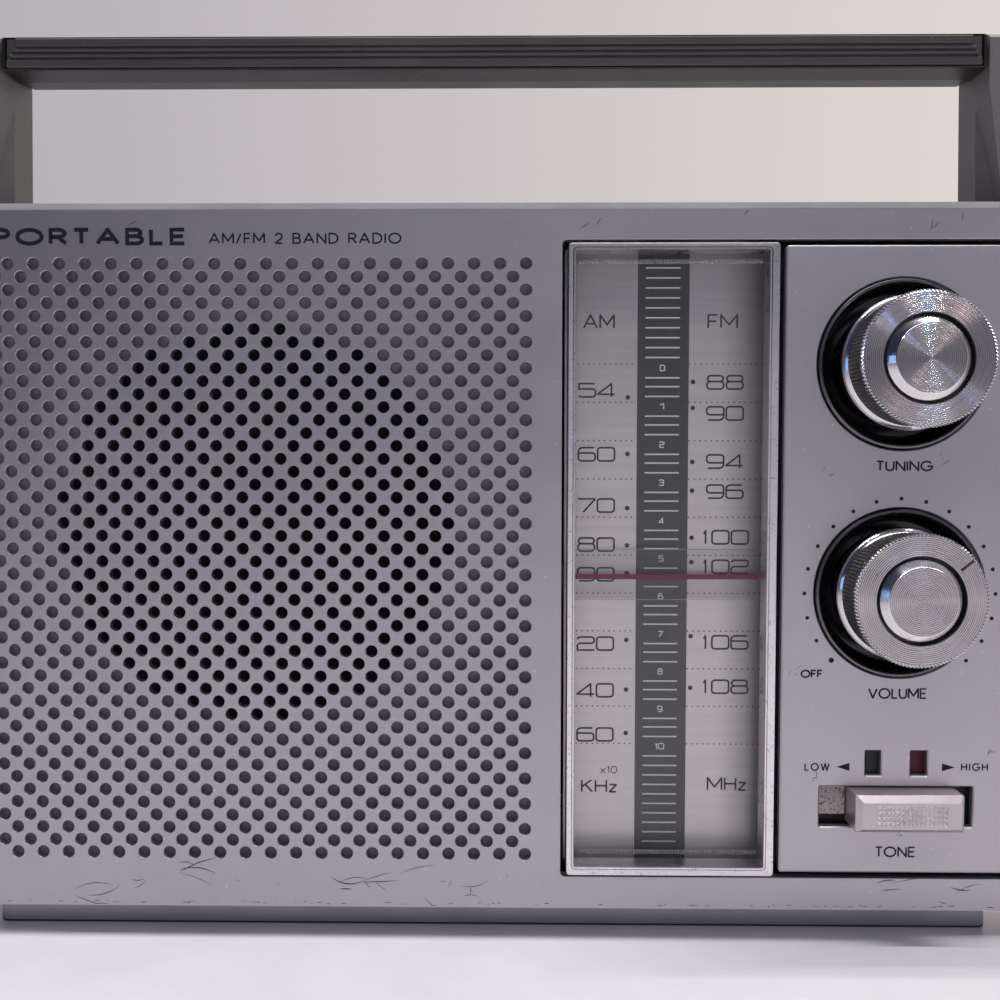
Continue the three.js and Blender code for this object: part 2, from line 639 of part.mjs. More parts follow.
// ---------------------------------------------------------------- batteries
function batteryTray() {
  const { half, bottom, top, front, wall } = TRAY;
  const back = CABINET.back - WALL - GAP;
  const outside = box([-half, half], [front, back], [bottom, top]);
  const hollow = box([-half + wall, half - wall], [front + wall, back + 1], [bottom + wall, top - wall]);
  const [x, y, z] = cellPlace(CELL.count);
  const length = half - wall + 0.5 - x;
  const spring = turned([[0, GAP], [4, GAP], [8, length], [0, length]], 'x', [x, y, z], 20);
  return outside.subtract(hollow).add(spring);
}

function cellPlace(i) {
  const { radius, left, pitch } = CELL;
  return [left + pitch * i, TRAY.front + TRAY.wall + radius + 0.6, TRAY.bottom + TRAY.wall + radius + 0.7];
}

function batteryCell(i) {
  const { radius, body, nub } = CELL;
  return turned([[0, 0], [radius - 1, 0], [radius, 0.8], [radius, body - 0.8], [radius - 1, body],
    [3.3, body], [3.3, body + nub], [0, body + nub]], 'x', cellPlace(i), 18);
}

// ---------------------------------------------------------------- handle
function mirrored(solid, side) {
  return side > 0 ? solid : solid.mirror([1, 0, 0]);
}

function handleArm(side) {
  const { pivotY, pivotZ, depth, gripBack, top, inner, outer } = HANDLE;
  const front = pivotY - depth / 2;
  const outline = new THREE.Shape();
  outline.moveTo(inner, pivotZ - depth / 2);
  outline.lineTo(outer, pivotZ - depth / 2);
  outline.absarc(outer - 5, top - 5, 5, 0, Math.PI / 2);
  outline.lineTo(inner, top);
  const edge = new THREE.Shape();
  edge.absarc(pivotY, pivotZ, depth / 2, Math.PI, 2 * Math.PI);
  edge.lineTo(gripBack, top - 1.5);
  edge.lineTo(gripBack - 1.5, top);
  edge.lineTo(front + 1, top);
  edge.lineTo(front, top - 1);
  const body = slab(outline, front, gripBack, 0, 3).intersect(section(edge, inner - 1, outer + 1, 6));
  const facet = toSolid(new ConvexGeometry([
    [inner - 1, front - 1, 144], [inner - 1, front + 1, 144], [inner - 1, front + 7.2, 156],
    [inner + 6, front - 1, 156], [inner - 1, front - 1, top - 9], [inner - 1, front + 9, top - 9],
    [inner - 0.3, front - 1, top - 9],
  ].map((p) => new THREE.Vector3(...p))));
  const bore = rod(SHAFT + GAP, inner - 1, outer + 1, 'x', [0, pivotY, pivotZ]);
  const seat = rod(6.4, outer - 3.5, outer + 1, 'x', [0, pivotY, pivotZ], 16);
  return mirrored(body.subtract(facet).subtract(bore).subtract(seat), side);
}

function handlePivot(side) {
  const { pivotY, pivotZ, outer } = HANDLE;
  const wall = CABINET.half - WALL;
  const profile = [[0, wall - 5], [5.5, wall - 5], [5.5, wall - GAP], [SHAFT, wall - GAP],
    [SHAFT, outer - 3.2], [6, outer - 3.2], [6, outer - 1.2], [5.2, outer - 0.4], [0, outer - 0.4]];
  return mirrored(turned(profile, 'x', [0, pivotY, pivotZ], 16), side);
}

function handleGrip() {
  const { pivotY, depth, gripBack, top, under } = HANDLE;
  const front = pivotY - depth / 2;
  const edge = new THREE.Shape();
  edge.moveTo(front, under + 0.4);
  edge.lineTo(front + 0.4, under);
  edge.lineTo(gripBack - 9.2, under - 0.1);
  edge.lineTo(gripBack - 0.3, under + 1.2);
  edge.lineTo(gripBack, under + 1.6);
  edge.lineTo(gripBack, top - 1.5);
  edge.lineTo(gripBack - 1.5, top);
  edge.lineTo(front + 0.6, top);
  edge.lineTo(front, top - 0.4);
  const recess = box([-STRIP.half - GAP, STRIP.half + GAP], [front - 1, front + STRIP.thick + GAP],
    [STRIP.bottom - GAP, STRIP.top + GAP]);
  return section(edge, -GRIP_END, GRIP_END).subtract(recess);
}

function gripStrip() {
  const front = HANDLE.pivotY - HANDLE.depth / 2;
  let body = box([-STRIP.half, STRIP.half], [front, front + STRIP.thick], [STRIP.bottom, STRIP.top]);
  for (const z of STRIP.ribs) {
    body = body.subtract(box([-STRIP.half - 1, STRIP.half + 1], [front - 1, front + 0.6], [z - 0.35, z + 0.35]));
  }
  return body;
}

// ---------------------------------------------------------------- telescopic antenna
function antennaSwivel() {
  const { x, y, z } = ANTENNA;
  const post = turned([[0, REBATE.bottom + GAP], [5.5, REBATE.bottom + GAP], [5.5, REBATE.bottom + 1.6],
    [4.6, REBATE.bottom + 1.6], [4.6, z + 3.6], [0, z + 3.6]], 'z', [x, y, 0], 20);
  const slot = box([x - 6, x + 6], [y - 1.5, y + 1.5], [REBATE.bottom + 1.6, z + 5]);
  const pin = rod(1, -4, 4, 'y', [x, y, z], 16);
  return post.subtract(slot).add(pin);
}

function antennaTube(i) {
  const { x, y, z, tip } = ANTENNA;
  const { outer, bore } = TUBES[i];
  const root = x - 7 - 4 * i;
  const end = tip + 5 - 1.5 * i;
  let body = ring(bore, outer, end, root, 'x', [0, y, z], 14);
  if (i === 0) {
    body = body.add(rod(outer, root - 1.5, root, 'x', [0, y, z], 14));
    body = body.add(box([root - 1, x], [y - 1.2, y + 1.2], [z - 2.4, z + 2.4]));
    body = body.add(rod(2.4, -1.2, 1.2, 'y', [x, y, z], 16));
    body = body.subtract(rod(1 + GAP, -3, 3, 'y', [x, y, z], 16));
  }
  return body;
}

function antennaTip() {
  const { x, y, z, tip } = ANTENNA;
  const rodEnd = tip + 0.5;
  const profile = [[0, tip - 6], [2.6, tip - 6], [3.2, tip - 5], [3.2, tip - 1.5], [2.4, tip - 0.6], [ROD, rodEnd],
    [ROD, x - 19], [0, x - 19]];
  return turned(profile, 'x', [0, y, z], 14);
}

// ---------------------------------------------------------------- assembly
addPiece('front_bezel', frontBezel(), 'silverPaint');
addPiece('rear_cabinet', rearCabinet(), 'cabinetPlastic');
addPiece('base_plinth', basePlinth(), 'plinthPlastic');
addPiece('battery_door', batteryDoor(), 'cabinetPlastic');
SCREWS.forEach((place, i) => addPiece(`case_screw_${i + 1}`, caseScrew(place), 'steel'));

addPiece('dial_frame', dialFrame(), 'chrome');
addPiece('dial_lens', dialLens(), 'clearPlastic');
addPiece('dial_plate', dialPlate(), 'dialSilver');
addPiece('control_panel', controlPanel(), 'silverPaint');
addPiece('dial_chassis', dialChassis(), 'steel');

addPiece('tuning_well', knobWell(TUNING), 'wellPlastic');
addPiece('tuning_knob', knob(TUNING), 'spunAluminium');
addPiece('tuning_cap', knobCap(TUNING), 'spunAluminium');
addPiece('tuning_spindle', tuningSpindle(), 'steel');
addPiece('volume_well', knobWell(VOLUME), 'wellPlastic');
addPiece('volume_knob', knob(VOLUME), 'spunAluminium');
addPiece('volume_cap', knobCap(VOLUME), 'spunAluminium');
addPiece('volume_shaft', volumeShaft(), 'steel');
addPiece('volume_potentiometer', volumePotentiometer(), 'steel');

addPiece('cord_drum', cordDrum(), 'pulleyPlastic');
addPiece('cord_pulley_top', cordPulley(PULLEY.top), 'pulleyPlastic');
addPiece('cord_pulley_bottom', cordPulley(PULLEY.bottom), 'pulleyPlastic');
addPiece('dial_cord', dialCord(), 'cordFibre');
addPiece('pointer_plate', pointerPlate(), 'clearPlastic');
addPiece('pointer_line', pointerLine(), 'pointerRed');

addPiece('tone_switch', toneSwitch(), 'innerPlastic');
addPiece('tone_knob', toneKnob(), 'spunAluminium');
addPiece('tone_flag', toneFlag(), 'flagRed');
addPiece('band_switch', bandSwitch(), 'innerPlastic');
addPiece('band_slider', bandSlider(), 'innerPlastic');

addPiece('speaker_cloth', speakerCloth(), 'blackCloth');
addPiece('speaker_basket', speakerBasket(), 'steel');
addPiece('speaker_cone', speakerCone(), 'conePaper');
addPiece('speaker_magnet', speakerMagnet(), 'magnetBlack');

addPiece('circuit_board', circuitBoard(), 'board');
addPiece('tuning_capacitor', tuningCapacitor(), 'steel');
addPiece('ferrite_rod', ferriteRod(), 'ferrite');
addPiece('ferrite_coil', ferriteCoil(), 'copper');
addPiece('transformer', transformer(), 'steel');
addPiece('ac_inlet', acInlet(), 'innerPlastic');
addPiece('earphone_jack', earphoneJack(), 'innerPlastic');

addPiece('battery_tray', batteryTray(), 'innerPlastic');
for (let i = 0; i < CELL.count; i += 1) {
  addPiece(`battery_cell_${i + 1}`, batteryCell(i), 'cellJacket');
}

addPiece('handle_grip', handleGrip(), 'handlePlastic');
addPiece('grip_strip', gripStrip(), 'stripPlastic');
addPiece('handle_arm_left', handleArm(-1), 'handlePlastic');
addPiece('handle_arm_right', handleArm(1), 'handlePlastic');
addPiece('handle_pivot_left', handlePivot(-1), 'chrome');
addPiece('handle_pivot_right', handlePivot(1), 'chrome');

addPiece('antenna_swivel', antennaSwivel(), 'chrome');
TUBES.forEach((tube, i) => addPiece(`antenna_tube_${i + 1}`, antennaTube(i), 'chrome'));
addPiece('antenna_tip', antennaTip(), 'chrome');

const bounds = new THREE.Box3().setFromObject(radio);
radio.position.y = -(bounds.min.y + bounds.max.y) / 2;

export default radio;
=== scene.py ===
"""The looks of a tabletop AM/FM radio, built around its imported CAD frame.

Lengths in this file are millimetres: x runs to the right of the front face, y runs back from the plane
of the front face, z is up. place() turns them into the frame's metres.
"""
import math
import random

import bmesh
import bpy
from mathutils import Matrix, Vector
from mathutils.geometry import delaunay_2d_cdt


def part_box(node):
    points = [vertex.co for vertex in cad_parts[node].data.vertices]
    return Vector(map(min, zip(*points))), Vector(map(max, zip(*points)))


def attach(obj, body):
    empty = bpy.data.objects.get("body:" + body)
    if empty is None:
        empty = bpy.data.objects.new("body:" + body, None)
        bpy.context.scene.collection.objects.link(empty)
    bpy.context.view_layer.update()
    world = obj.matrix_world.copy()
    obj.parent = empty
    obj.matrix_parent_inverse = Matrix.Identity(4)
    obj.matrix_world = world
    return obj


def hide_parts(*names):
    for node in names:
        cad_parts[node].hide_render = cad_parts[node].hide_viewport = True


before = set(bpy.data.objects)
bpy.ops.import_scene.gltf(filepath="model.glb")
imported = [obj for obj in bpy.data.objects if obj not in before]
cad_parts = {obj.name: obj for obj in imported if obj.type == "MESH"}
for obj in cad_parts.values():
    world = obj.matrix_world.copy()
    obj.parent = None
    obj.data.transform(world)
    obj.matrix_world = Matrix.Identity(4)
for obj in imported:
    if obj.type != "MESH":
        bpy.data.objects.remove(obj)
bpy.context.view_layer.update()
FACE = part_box("front_bezel")[0].y  # the plane of the front face, in metres


# ---- places
def place(x, y, z):
    return Vector((x / 1000, FACE + y / 1000, z / 1000))


def extent(node):
    """A CAD node's lowest and highest corners in this file's millimetres."""
    low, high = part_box(node)
    return [Vector((c.x * 1000, (c.y - FACE) * 1000, c.z * 1000)) for c in (low, high)]


# ---- meshes
class Build:
    """Collects points in millimetres and faces, and makes one object from them."""

    def __init__(self):
        self.points = []
        self.faces = []
        self.slots = []

    def add(self, points, faces, slot=0):
        base = len(self.points)
        self.points.extend(points)
        for face in faces:
            self.faces.append([base + i for i in face])
            self.slots.append(slot)

    def make(self, name, body, finishes, replaces=(), smooth=30, fix_normals=True, weld=False, flat=()):
        mesh = bpy.data.meshes.new(name)
        mesh.from_pydata([place(*p) for p in self.points], [], self.faces)
        for finish in finishes:
            mesh.materials.append(finish)
        mesh.polygons.foreach_set("material_index", self.slots)
        work = bmesh.new()
        work.from_mesh(mesh)
        if weld:
            bmesh.ops.remove_doubles(work, verts=work.verts, dist=1e-7)
        if fix_normals:
            bmesh.ops.recalc_face_normals(work, faces=work.faces)
        work.to_mesh(mesh)
        work.free()
        if smooth:
            mesh.shade_smooth()
            mesh.set_sharp_from_angle(angle=math.radians(smooth))
            for polygon in mesh.polygons:
                if polygon.material_index in flat:
                    polygon.use_smooth = False
        piece = bpy.data.objects.new(name, mesh)
        if smooth:
            flatten = piece.modifiers.new("flatten", "WEIGHTED_NORMAL")
            flatten.weight = 100
            flatten.keep_sharp = True
        bpy.context.scene.collection.objects.link(piece)
        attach(piece, body)
        if replaces:
            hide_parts(*replaces)
        return piece


def circle(x, z, radius, sides):
    def at(grow):
        return [(x + (radius + grow) * math.cos(math.tau * i / sides),
                 z + (radius + grow) * math.sin(math.tau * i / sides)) for i in range(sides)]
    return at


def rounded(left, right, bottom, top, radius, steps=6):
    """A rounded rectangle whose sides and corners move out together as it grows."""
    def at(grow):
        points = []
        centres = [(right - radius, top - radius), (left + radius, top - radius),
                   (left + radius, bottom + radius), (right - radius, bottom + radius)]
        for quarter, (cx, cz) in enumerate(centres):
            for i in range(steps + 1):
                angle = math.pi / 2 * (quarter + i / steps)
                reach = max(radius + grow, 0.01)
                points.append((cx + reach * math.cos(angle), cz + reach * math.sin(angle)))
        return points
    return at


def wall(build, loop, profile, slot=0):
    """Rings of one loop at each (grow, y) of a profile, joined by faces. Returns the point numbers."""
    rings = []
    for grow, y in profile:
        base = len(build.points)
        ring = [(x, y, z) for x, z in loop(grow)]
        build.points.extend(ring)
        rings.append(list(range(base, base + len(ring))))
    for near, far in zip(rings, rings[1:]):
        count = len(near)
        for i in range(count):
            j = (i + 1) % count
            build.faces.append([near[i], near[j], far[j], far[i]])
            build.slots.append(slot)
    return rings


def fill(build, outer, holes):
    """Flat triangles between an outer ring of point numbers and the rings of its holes."""
    numbers = [n for ring in [outer, *holes] for n in ring]
    flat = [Vector((build.points[n][0], build.points[n][2])) for n in numbers]
    rings = []
    start = 0
    for ring in [outer, *holes]:
        rings.append(list(range(start, start + len(ring))))
        start += len(ring)
    _, _, faces, from_point, _, from_face = delaunay_2d_cdt(flat, [], rings, 1, 1e-6, True)
    for face, owners in zip(faces, from_face):
        if owners == [0]:
            build.faces.append([numbers[from_point[i][0]] for i in face])
            build.slots.append(0)


def plate(build, outer, outer_profile, holes, edge_steps=0, edge_slot=0):
    """A plate with a shaped rim. Each hole is (loop, profile, goes_through, slot of its bottom).
    The first edge_steps bands of the rim take edge_slot."""
    start = len(build.faces)
    rim = wall(build, outer, outer_profile)
    for i in range(start, start + edge_steps * len(rim[0])):
        build.slots[i] = edge_slot
    fronts, backs = [], []
    for loop, profile, through, bottom_slot in holes:
        rings = wall(build, loop, profile)
        fronts.append(rings[0])
        if through:
            backs.append(rings[-1])
        else:
            build.faces.append(rings[-1])
            build.slots.append(bottom_slot)
    fill(build, rim[0], fronts)
    fill(build, rim[-1], backs)


def turned(build, profile, centre, axis="y", sides=64, slot=0, wave=None):
    """Turns (radius, distance along the axis) points about an axis along x or y.
    wave(i) is added to the radius at side i."""
    cx, cy, cz = centre

    def at(a, b, along):
        return (along, cy + a, cz + b) if axis == "x" else (cx + a, along, cz + b)

    rings = []
    for radius, along in profile:
        base = len(build.points)
        if radius < 1e-6:
            build.points.append(at(0, 0, along))
            rings.append([base])
            continue
        for i in range(sides):
            angle = math.tau * i / sides
            reach = radius + (wave(i) if wave else 0)
            build.points.append(at(reach * math.cos(angle), reach * math.sin(angle), along))
        rings.append(list(range(base, base + sides)))
    for near, far in zip(rings, rings[1:]):
        for i in range(sides):
            j = (i + 1) % sides
            if len(near) == 1:
                build.faces.append([near[0], far[j], far[i]])
            elif len(far) == 1:
                build.faces.append([near[i], near[j], far[0]])
            else:
                build.faces.append([near[i], near[j], far[j], far[i]])
            build.slots.append(slot)


def block(build, x, y, z, edge=0.0, slot=0):
    """A box with its four front edges chamfered."""
    loop = rounded(x[0], x[1], z[0], z[1], max(edge, 0.05), 1)
    front = [(-edge, y[0]), (0, y[0] + edge)] if edge else [(0, y[0])]
    rings = wall(build, loop, [*front, (0, y[1])], slot)
    build.faces.append(rings[0])
    build.faces.append(rings[-1])
    build.slots.extend([slot, slot])


# ---- node materials
def grey(value):
    return (value, value, value, 1)


def varied(colour, share):
    """The colour made darker and lighter by a share of itself."""
    dark = tuple(c * (1 - share) for c in colour) + (1,)
    light = tuple(min(1, c * (1 + share)) for c in colour) + (1,)
    return dark, light


class Tree:
    """The node tree of a material or of the world, with short ways to add to it."""

    def __init__(self, owner):
        owner.use_nodes = True
        self.nodes = owner.node_tree.nodes
        self.links = owner.node_tree.links

    def set(self, node, inputs):
        """Fills input sockets with numbers, colours or the outputs of other nodes."""
        for name, value in inputs.items():
            if isinstance(value, bpy.types.NodeSocket):
                self.links.new(value, node.inputs[name])
            else:
                node.inputs[name].default_value = value

    def node(self, kind, inputs):
        node = self.nodes.new("ShaderNode" + kind)
        self.set(node, inputs)
        return node

    def surface(self, inputs):
        self.set(self.nodes["Principled BSDF"], inputs)

    def where(self, coordinate="Object"):
        return self.nodes.new("ShaderNodeTexCoord").outputs[coordinate]

    def axes(self, vector):
        return self.node("SeparateXYZ", {"Vector": vector}).outputs

    def noise(self, scale, detail=3.0, rough=0.5, stretch=(1, 1, 1)):
        mapped = self.node("Mapping", {"Vector": self.where(), "Scale": stretch}).outputs["Vector"]
        inputs = {"Vector": mapped, "Scale": scale, "Detail": detail, "Roughness": rough}
        return self.node("TexNoise", inputs).outputs["Fac"]

    def ramp(self, value, *stops):
        """A colour ramp through (position, colour) stops."""
        node = self.node("ValToRGB", {"Fac": value})
        elements = node.color_ramp.elements
        elements[0].position, elements[0].color = stops[0]
        elements[1].position, elements[1].color = stops[-1]
        for position, colour in stops[1:-1]:
            elements.new(position).color = colour
        return node.outputs["Color"]

    def mix(self, factor, first, second):
        node = self.nodes.new("ShaderNodeMix")
        node.data_type = "RGBA"
        self.set(node, {"Factor": factor, "A": first, "B": second})
        return node.outputs["Result"]

    def maths(self, operation, *values):
        node = self.nodes.new("ShaderNodeMath")
        node.operation = operation
        self.set(node, dict(enumerate(values)))
        return node.outputs["Value"]

    def bump(self, height, distance, strength=1.0):
        inputs = {"Height": height, "Distance": distance / 1000, "Strength": strength}
        return self.node("Bump", inputs).outputs["Normal"]

    def specks(self, shade, colour, scale, start, full, weight, detail=3.0, rough=0.7):
        """Scatters specks of a colour over a shade, where the noise is between start and full or higher."""
        spots = self.ramp(self.noise(scale, detail, rough), (start, grey(0)), (full, grey(weight)))
        return self.mix(spots, shade, colour)

    def base_colour(self):
        return self.nodes["Principled BSDF"].inputs["Base Color"].links[0].from_socket


def new_material(name):
    material = bpy.data.materials.new(name)
    return material, Tree(material)


DUST_COLOUR = (0.62, 0.6, 0.58, 1)


def moulded(name, colour, roughness, grain=900.0, depth=0.03, metallic=0.0, vary=0.12, dust=0.0, gloss=0.5):
    """Moulded plastic or plain metal: a fine grain, a slow change of shade, and a little dust."""
    material, tree = new_material(name)
    slow = tree.noise(38.0, 4.0, 0.6)
    dark, light = varied(colour, vary)
    shade = tree.ramp(slow, (0.3, dark), (0.7, light))
    if dust:
        shade = tree.specks(shade, DUST_COLOUR, 420.0, 0.66, 0.72, dust)
    low, high = grey(roughness * 0.85), grey(min(1, roughness * 1.15))
    tree.surface({
        "Base Color": shade,
        "Roughness": tree.ramp(slow, (0.25, low), (0.75, high)),
        "Metallic": metallic,
        "Specular IOR Level": gloss,
        "Normal": tree.bump(tree.noise(grain, 2.0), depth),
    })
    return material


def silver_paint():
    """The metallic paint of the face: fine flakes, a slow change of shade and a few pale specks."""
    material, tree = new_material("silver_paint")
    flake = tree.noise(2600.0, 1.0)
    slow = tree.noise(22.0, 4.0, 0.6)
    shade = tree.ramp(slow, (0.3, (0.44, 0.423, 0.45, 1)), (0.7, (0.505, 0.483, 0.51, 1)))
    shade = tree.mix(tree.maths("MULTIPLY", flake, 0.16), shade, (0.62, 0.62, 0.66, 1))
    tree.surface({
        "Base Color": tree.specks(shade, (0.75, 0.74, 0.76, 1), 700.0, 0.73, 0.76, 0.6, 2.0, 0.6),
        "Roughness": tree.ramp(slow, (0.2, grey(0.34)), (0.8, grey(0.42))),
        "Metallic": 0.85,
        "Normal": tree.bump(flake, 0.012),
    })
    return material


def worn_chrome(name, colour, roughness, pits=0.5):
    """Chrome with small dark pits."""
    material, tree = new_material(name)
    pit = tree.ramp(tree.noise(1500.0, 3.0, 0.65), (0.6, grey(0)), (0.68, grey(pits)))
    slow = tree.noise(120.0, 3.0, 0.6)
    tree.surface({
        "Base Color": tree.mix(pit, colour + (1,), (0.2, 0.19, 0.19, 1)),
        "Roughness": tree.ramp(slow, (0.3, grey(roughness)), (0.7, grey(roughness + 0.14))),
        "Metallic": 1.0,
        "Normal": tree.bump(pit, 0.02),
    })
    return material


GROOVE_PITCH = 0.44
SPUN_LIGHT = (0.54, 0.505, 0.515, 1)
SPUN_DARK = tuple(c * 0.62 for c in SPUN_LIGHT[:3]) + (1,)


def spun_metal(name, x, z):
    """Aluminium turned on a lathe: concentric grooves round (x, z) and streaks along the radius."""
    material, tree = new_material(name)
    centred = tree.node("Mapping", {"Vector": tree.where(), "Location": (-x / 1000, 0, -z / 1000)})
    across = tree.axes(centred.outputs["Vector"])
    squares = [tree.maths("MULTIPLY", across[axis], across[axis]) for axis in "XZ"]
    radius = tree.maths("SQRT", tree.maths("ADD", *squares))
    groove = tree.maths("SINE", tree.maths("MULTIPLY", radius, math.tau * 1000 / GROOVE_PITCH))
    angle = tree.maths("ARCTAN2", across["Z"], across["X"])
    polar = tree.node("CombineXYZ", {
        "X": tree.maths("MULTIPLY", radius, 9000.0),
        "Y": tree.maths("MULTIPLY", angle, 1.6),
    })
    streaks = {"Vector": polar.outputs["Vector"], "Scale": 1.0, "Detail": 4.0}
    uneven = tree.node("TexNoise", streaks).outputs["Fac"]
    height = tree.maths("ADD", tree.maths("MULTIPLY", groove, 0.6), uneven)
    lines = tree.maths("MULTIPLY_ADD", groove, 0.2, uneven)
    shade = tree.ramp(lines, (0.35, SPUN_DARK), (0.65, SPUN_LIGHT))
    tangent = tree.nodes.new("ShaderNodeTangent")
    tangent.direction_type = "RADIAL"
    tangent.axis = "Y"
    tree.surface({
        "Base Color": tree.specks(shade, (0.12, 0.11, 0.11, 1), 900.0, 0.64, 0.72, 0.5),
        "Metallic": 1.0,
        "Roughness": 0.16,
        "Anisotropic": 1.0,
        "Anisotropic Rotation": 0.25,
        "Tangent": tangent.outputs["Tangent"],
        "Normal": tree.bump(height, 0.022, 0.8),
    })
    return material


def tint_along(material, axis, span, near, far, colour):
    """Mixes a colour over the base colour, as painted shade. near and far are (millimetres along the axis,
    weight).
    """
    tree = Tree(material)
    along = tree.maths("MULTIPLY", tree.axes(tree.where())[axis], 1000 / span)
    weight = tree.ramp(along, *[(place / span, grey(weight)) for place, weight in (near, far)])
    tree.surface({"Base Color": tree.mix(weight, tree.base_colour(), colour)})


def brushed(name, colour, roughness, metallic, scale, stretch):
    """Metal brushed one way."""
    material, tree = new_material(name)
    streak = tree.noise(scale, 3.0, 0.6, stretch)
    dark, light = varied(colour, 0.06)
    tree.surface({
        "Base Color": tree.ramp(streak, (0.3, dark), (0.7, light)),
        "Metallic": metallic,
        "Roughness": tree.ramp(streak, (0.3, grey(roughness)), (0.7, grey(roughness + 0.12))),
        "Normal": tree.bump(streak, 0.002),
    })
    return material


def clear_plastic(name, alpha, colour):
    material, tree = new_material(name)
    haze = tree.noise(160.0, 4.0, 0.6)
    dull = tuple(c * 0.85 for c in colour) + (1,)
    tree.surface({
        "Base Color": tree.ramp(haze, (0.3, dull), (0.7, colour + (1,))),
        "Roughness": tree.ramp(haze, (0.35, grey(0.04)), (0.75, grey(0.12))),
        "Alpha": alpha,
        "Specular IOR Level": 0.8,
    })
    return material


def ink(name, colour, wear=0.35, roughness=0.6, gloss=0.2):
    """Printed ink, slightly uneven and worn through in specks."""
    material, tree = new_material(name)
    patch = tree.noise(1400.0, 3.0, 0.7)
    faded = tuple(c + (0.3 - c) * wear for c in colour) + (1,)
    tree.surface({
        "Base Color": tree.ramp(patch, (0.45, colour + (1,)), (0.75, faded)),
        "Roughness": roughness,
        "Specular IOR Level": gloss,
        "Normal": tree.bump(patch, 0.01),
    })
    return material


SILVER = silver_paint()
DIMPLE = moulded("dimple_floor", (0.17, 0.165, 0.175), 0.6, grain=1500.0, vary=0.3, dust=0.3)
CHROME = worn_chrome("worn_chrome", (0.84, 0.81, 0.83), 0.24)
BRIGHT = worn_chrome("bright_chrome", (0.72, 0.71, 0.72), 0.07, 0.25)
BLACK = moulded("black_plastic", (0.012, 0.012, 0.014), 0.32, dust=0.12)
CASE = moulded("case_plastic", (0.045, 0.043, 0.047), 0.55, grain=650.0, depth=0.09, dust=0.06)
PLINTH = moulded("plinth_plastic", (0.58, 0.565, 0.61), 0.5, grain=800.0, depth=0.04, dust=0.1)
tint_along(PLINTH, "Z", 5.0, (0.75, 0.85), (4.75, 0.0), (0.27, 0.27, 0.34, 1))  # painted shade: darker towards the table, under the face's overhang
tint_along(PLINTH, "Z", 1.0, (0.4, 1.0), (0.55, 0.0), (0.012, 0.012, 0.018, 1))  # painted contact shadow along the lower edge
HANDLE = moulded("handle_plastic", (0.0135, 0.0125, 0.013), 0.42, grain=700.0, depth=0.05, dust=0.05,
                 gloss=0.35)
STRIP = moulded("strip_plastic", (0.052, 0.048, 0.051), 0.34, dust=0.04)
TEXTURED = moulded("textured_plastic", (0.185, 0.173, 0.175), 0.5, grain=480.0, depth=0.14)
STEEL = moulded("plain_steel", (0.42, 0.42, 0.44), 0.35, grain=1200.0, depth=0.01, metallic=1.0)
INNER = moulded("inner_plastic", (0.02, 0.02, 0.022), 0.5)
CLOTH = moulded("speaker_cloth", (0.004, 0.004, 0.005), 0.95, grain=2200.0, depth=0.1)
DARK_INK = ink("dark_ink", (0.01, 0.01, 0.014), 0.12)
DIAL_INK = ink("dial_ink", (0.045, 0.042, 0.05), 0.2)
PALE_INK = ink("pale_ink", (0.78, 0.78, 0.8), 0.2)
CLEAR = clear_plastic("clear_plastic", 0.05, (0.3, 0.31, 0.33))
# pale clear plastic: the lens teeth are real, and this pale colour on them and on the pointer's edges is a
# painted highlight
CLEAR_HIGHLIGHT = clear_plastic("clear_highlight", 0.4, (0.62, 0.6, 0.62))

# ---- strokes for printed characters
def arc(cx, cz, rx, rz, start, end, steps=10):
    points = []
    for i in range(steps + 1):
        angle = math.radians(start + (end - start) * i / steps)
        points.append((cx + rx * math.cos(angle), cz + rz * math.sin(angle)))
    return points


def bend(cx, cz, start, end, steps=4):
    return arc(cx, cz, 0.2, 0.2, start, end, steps)


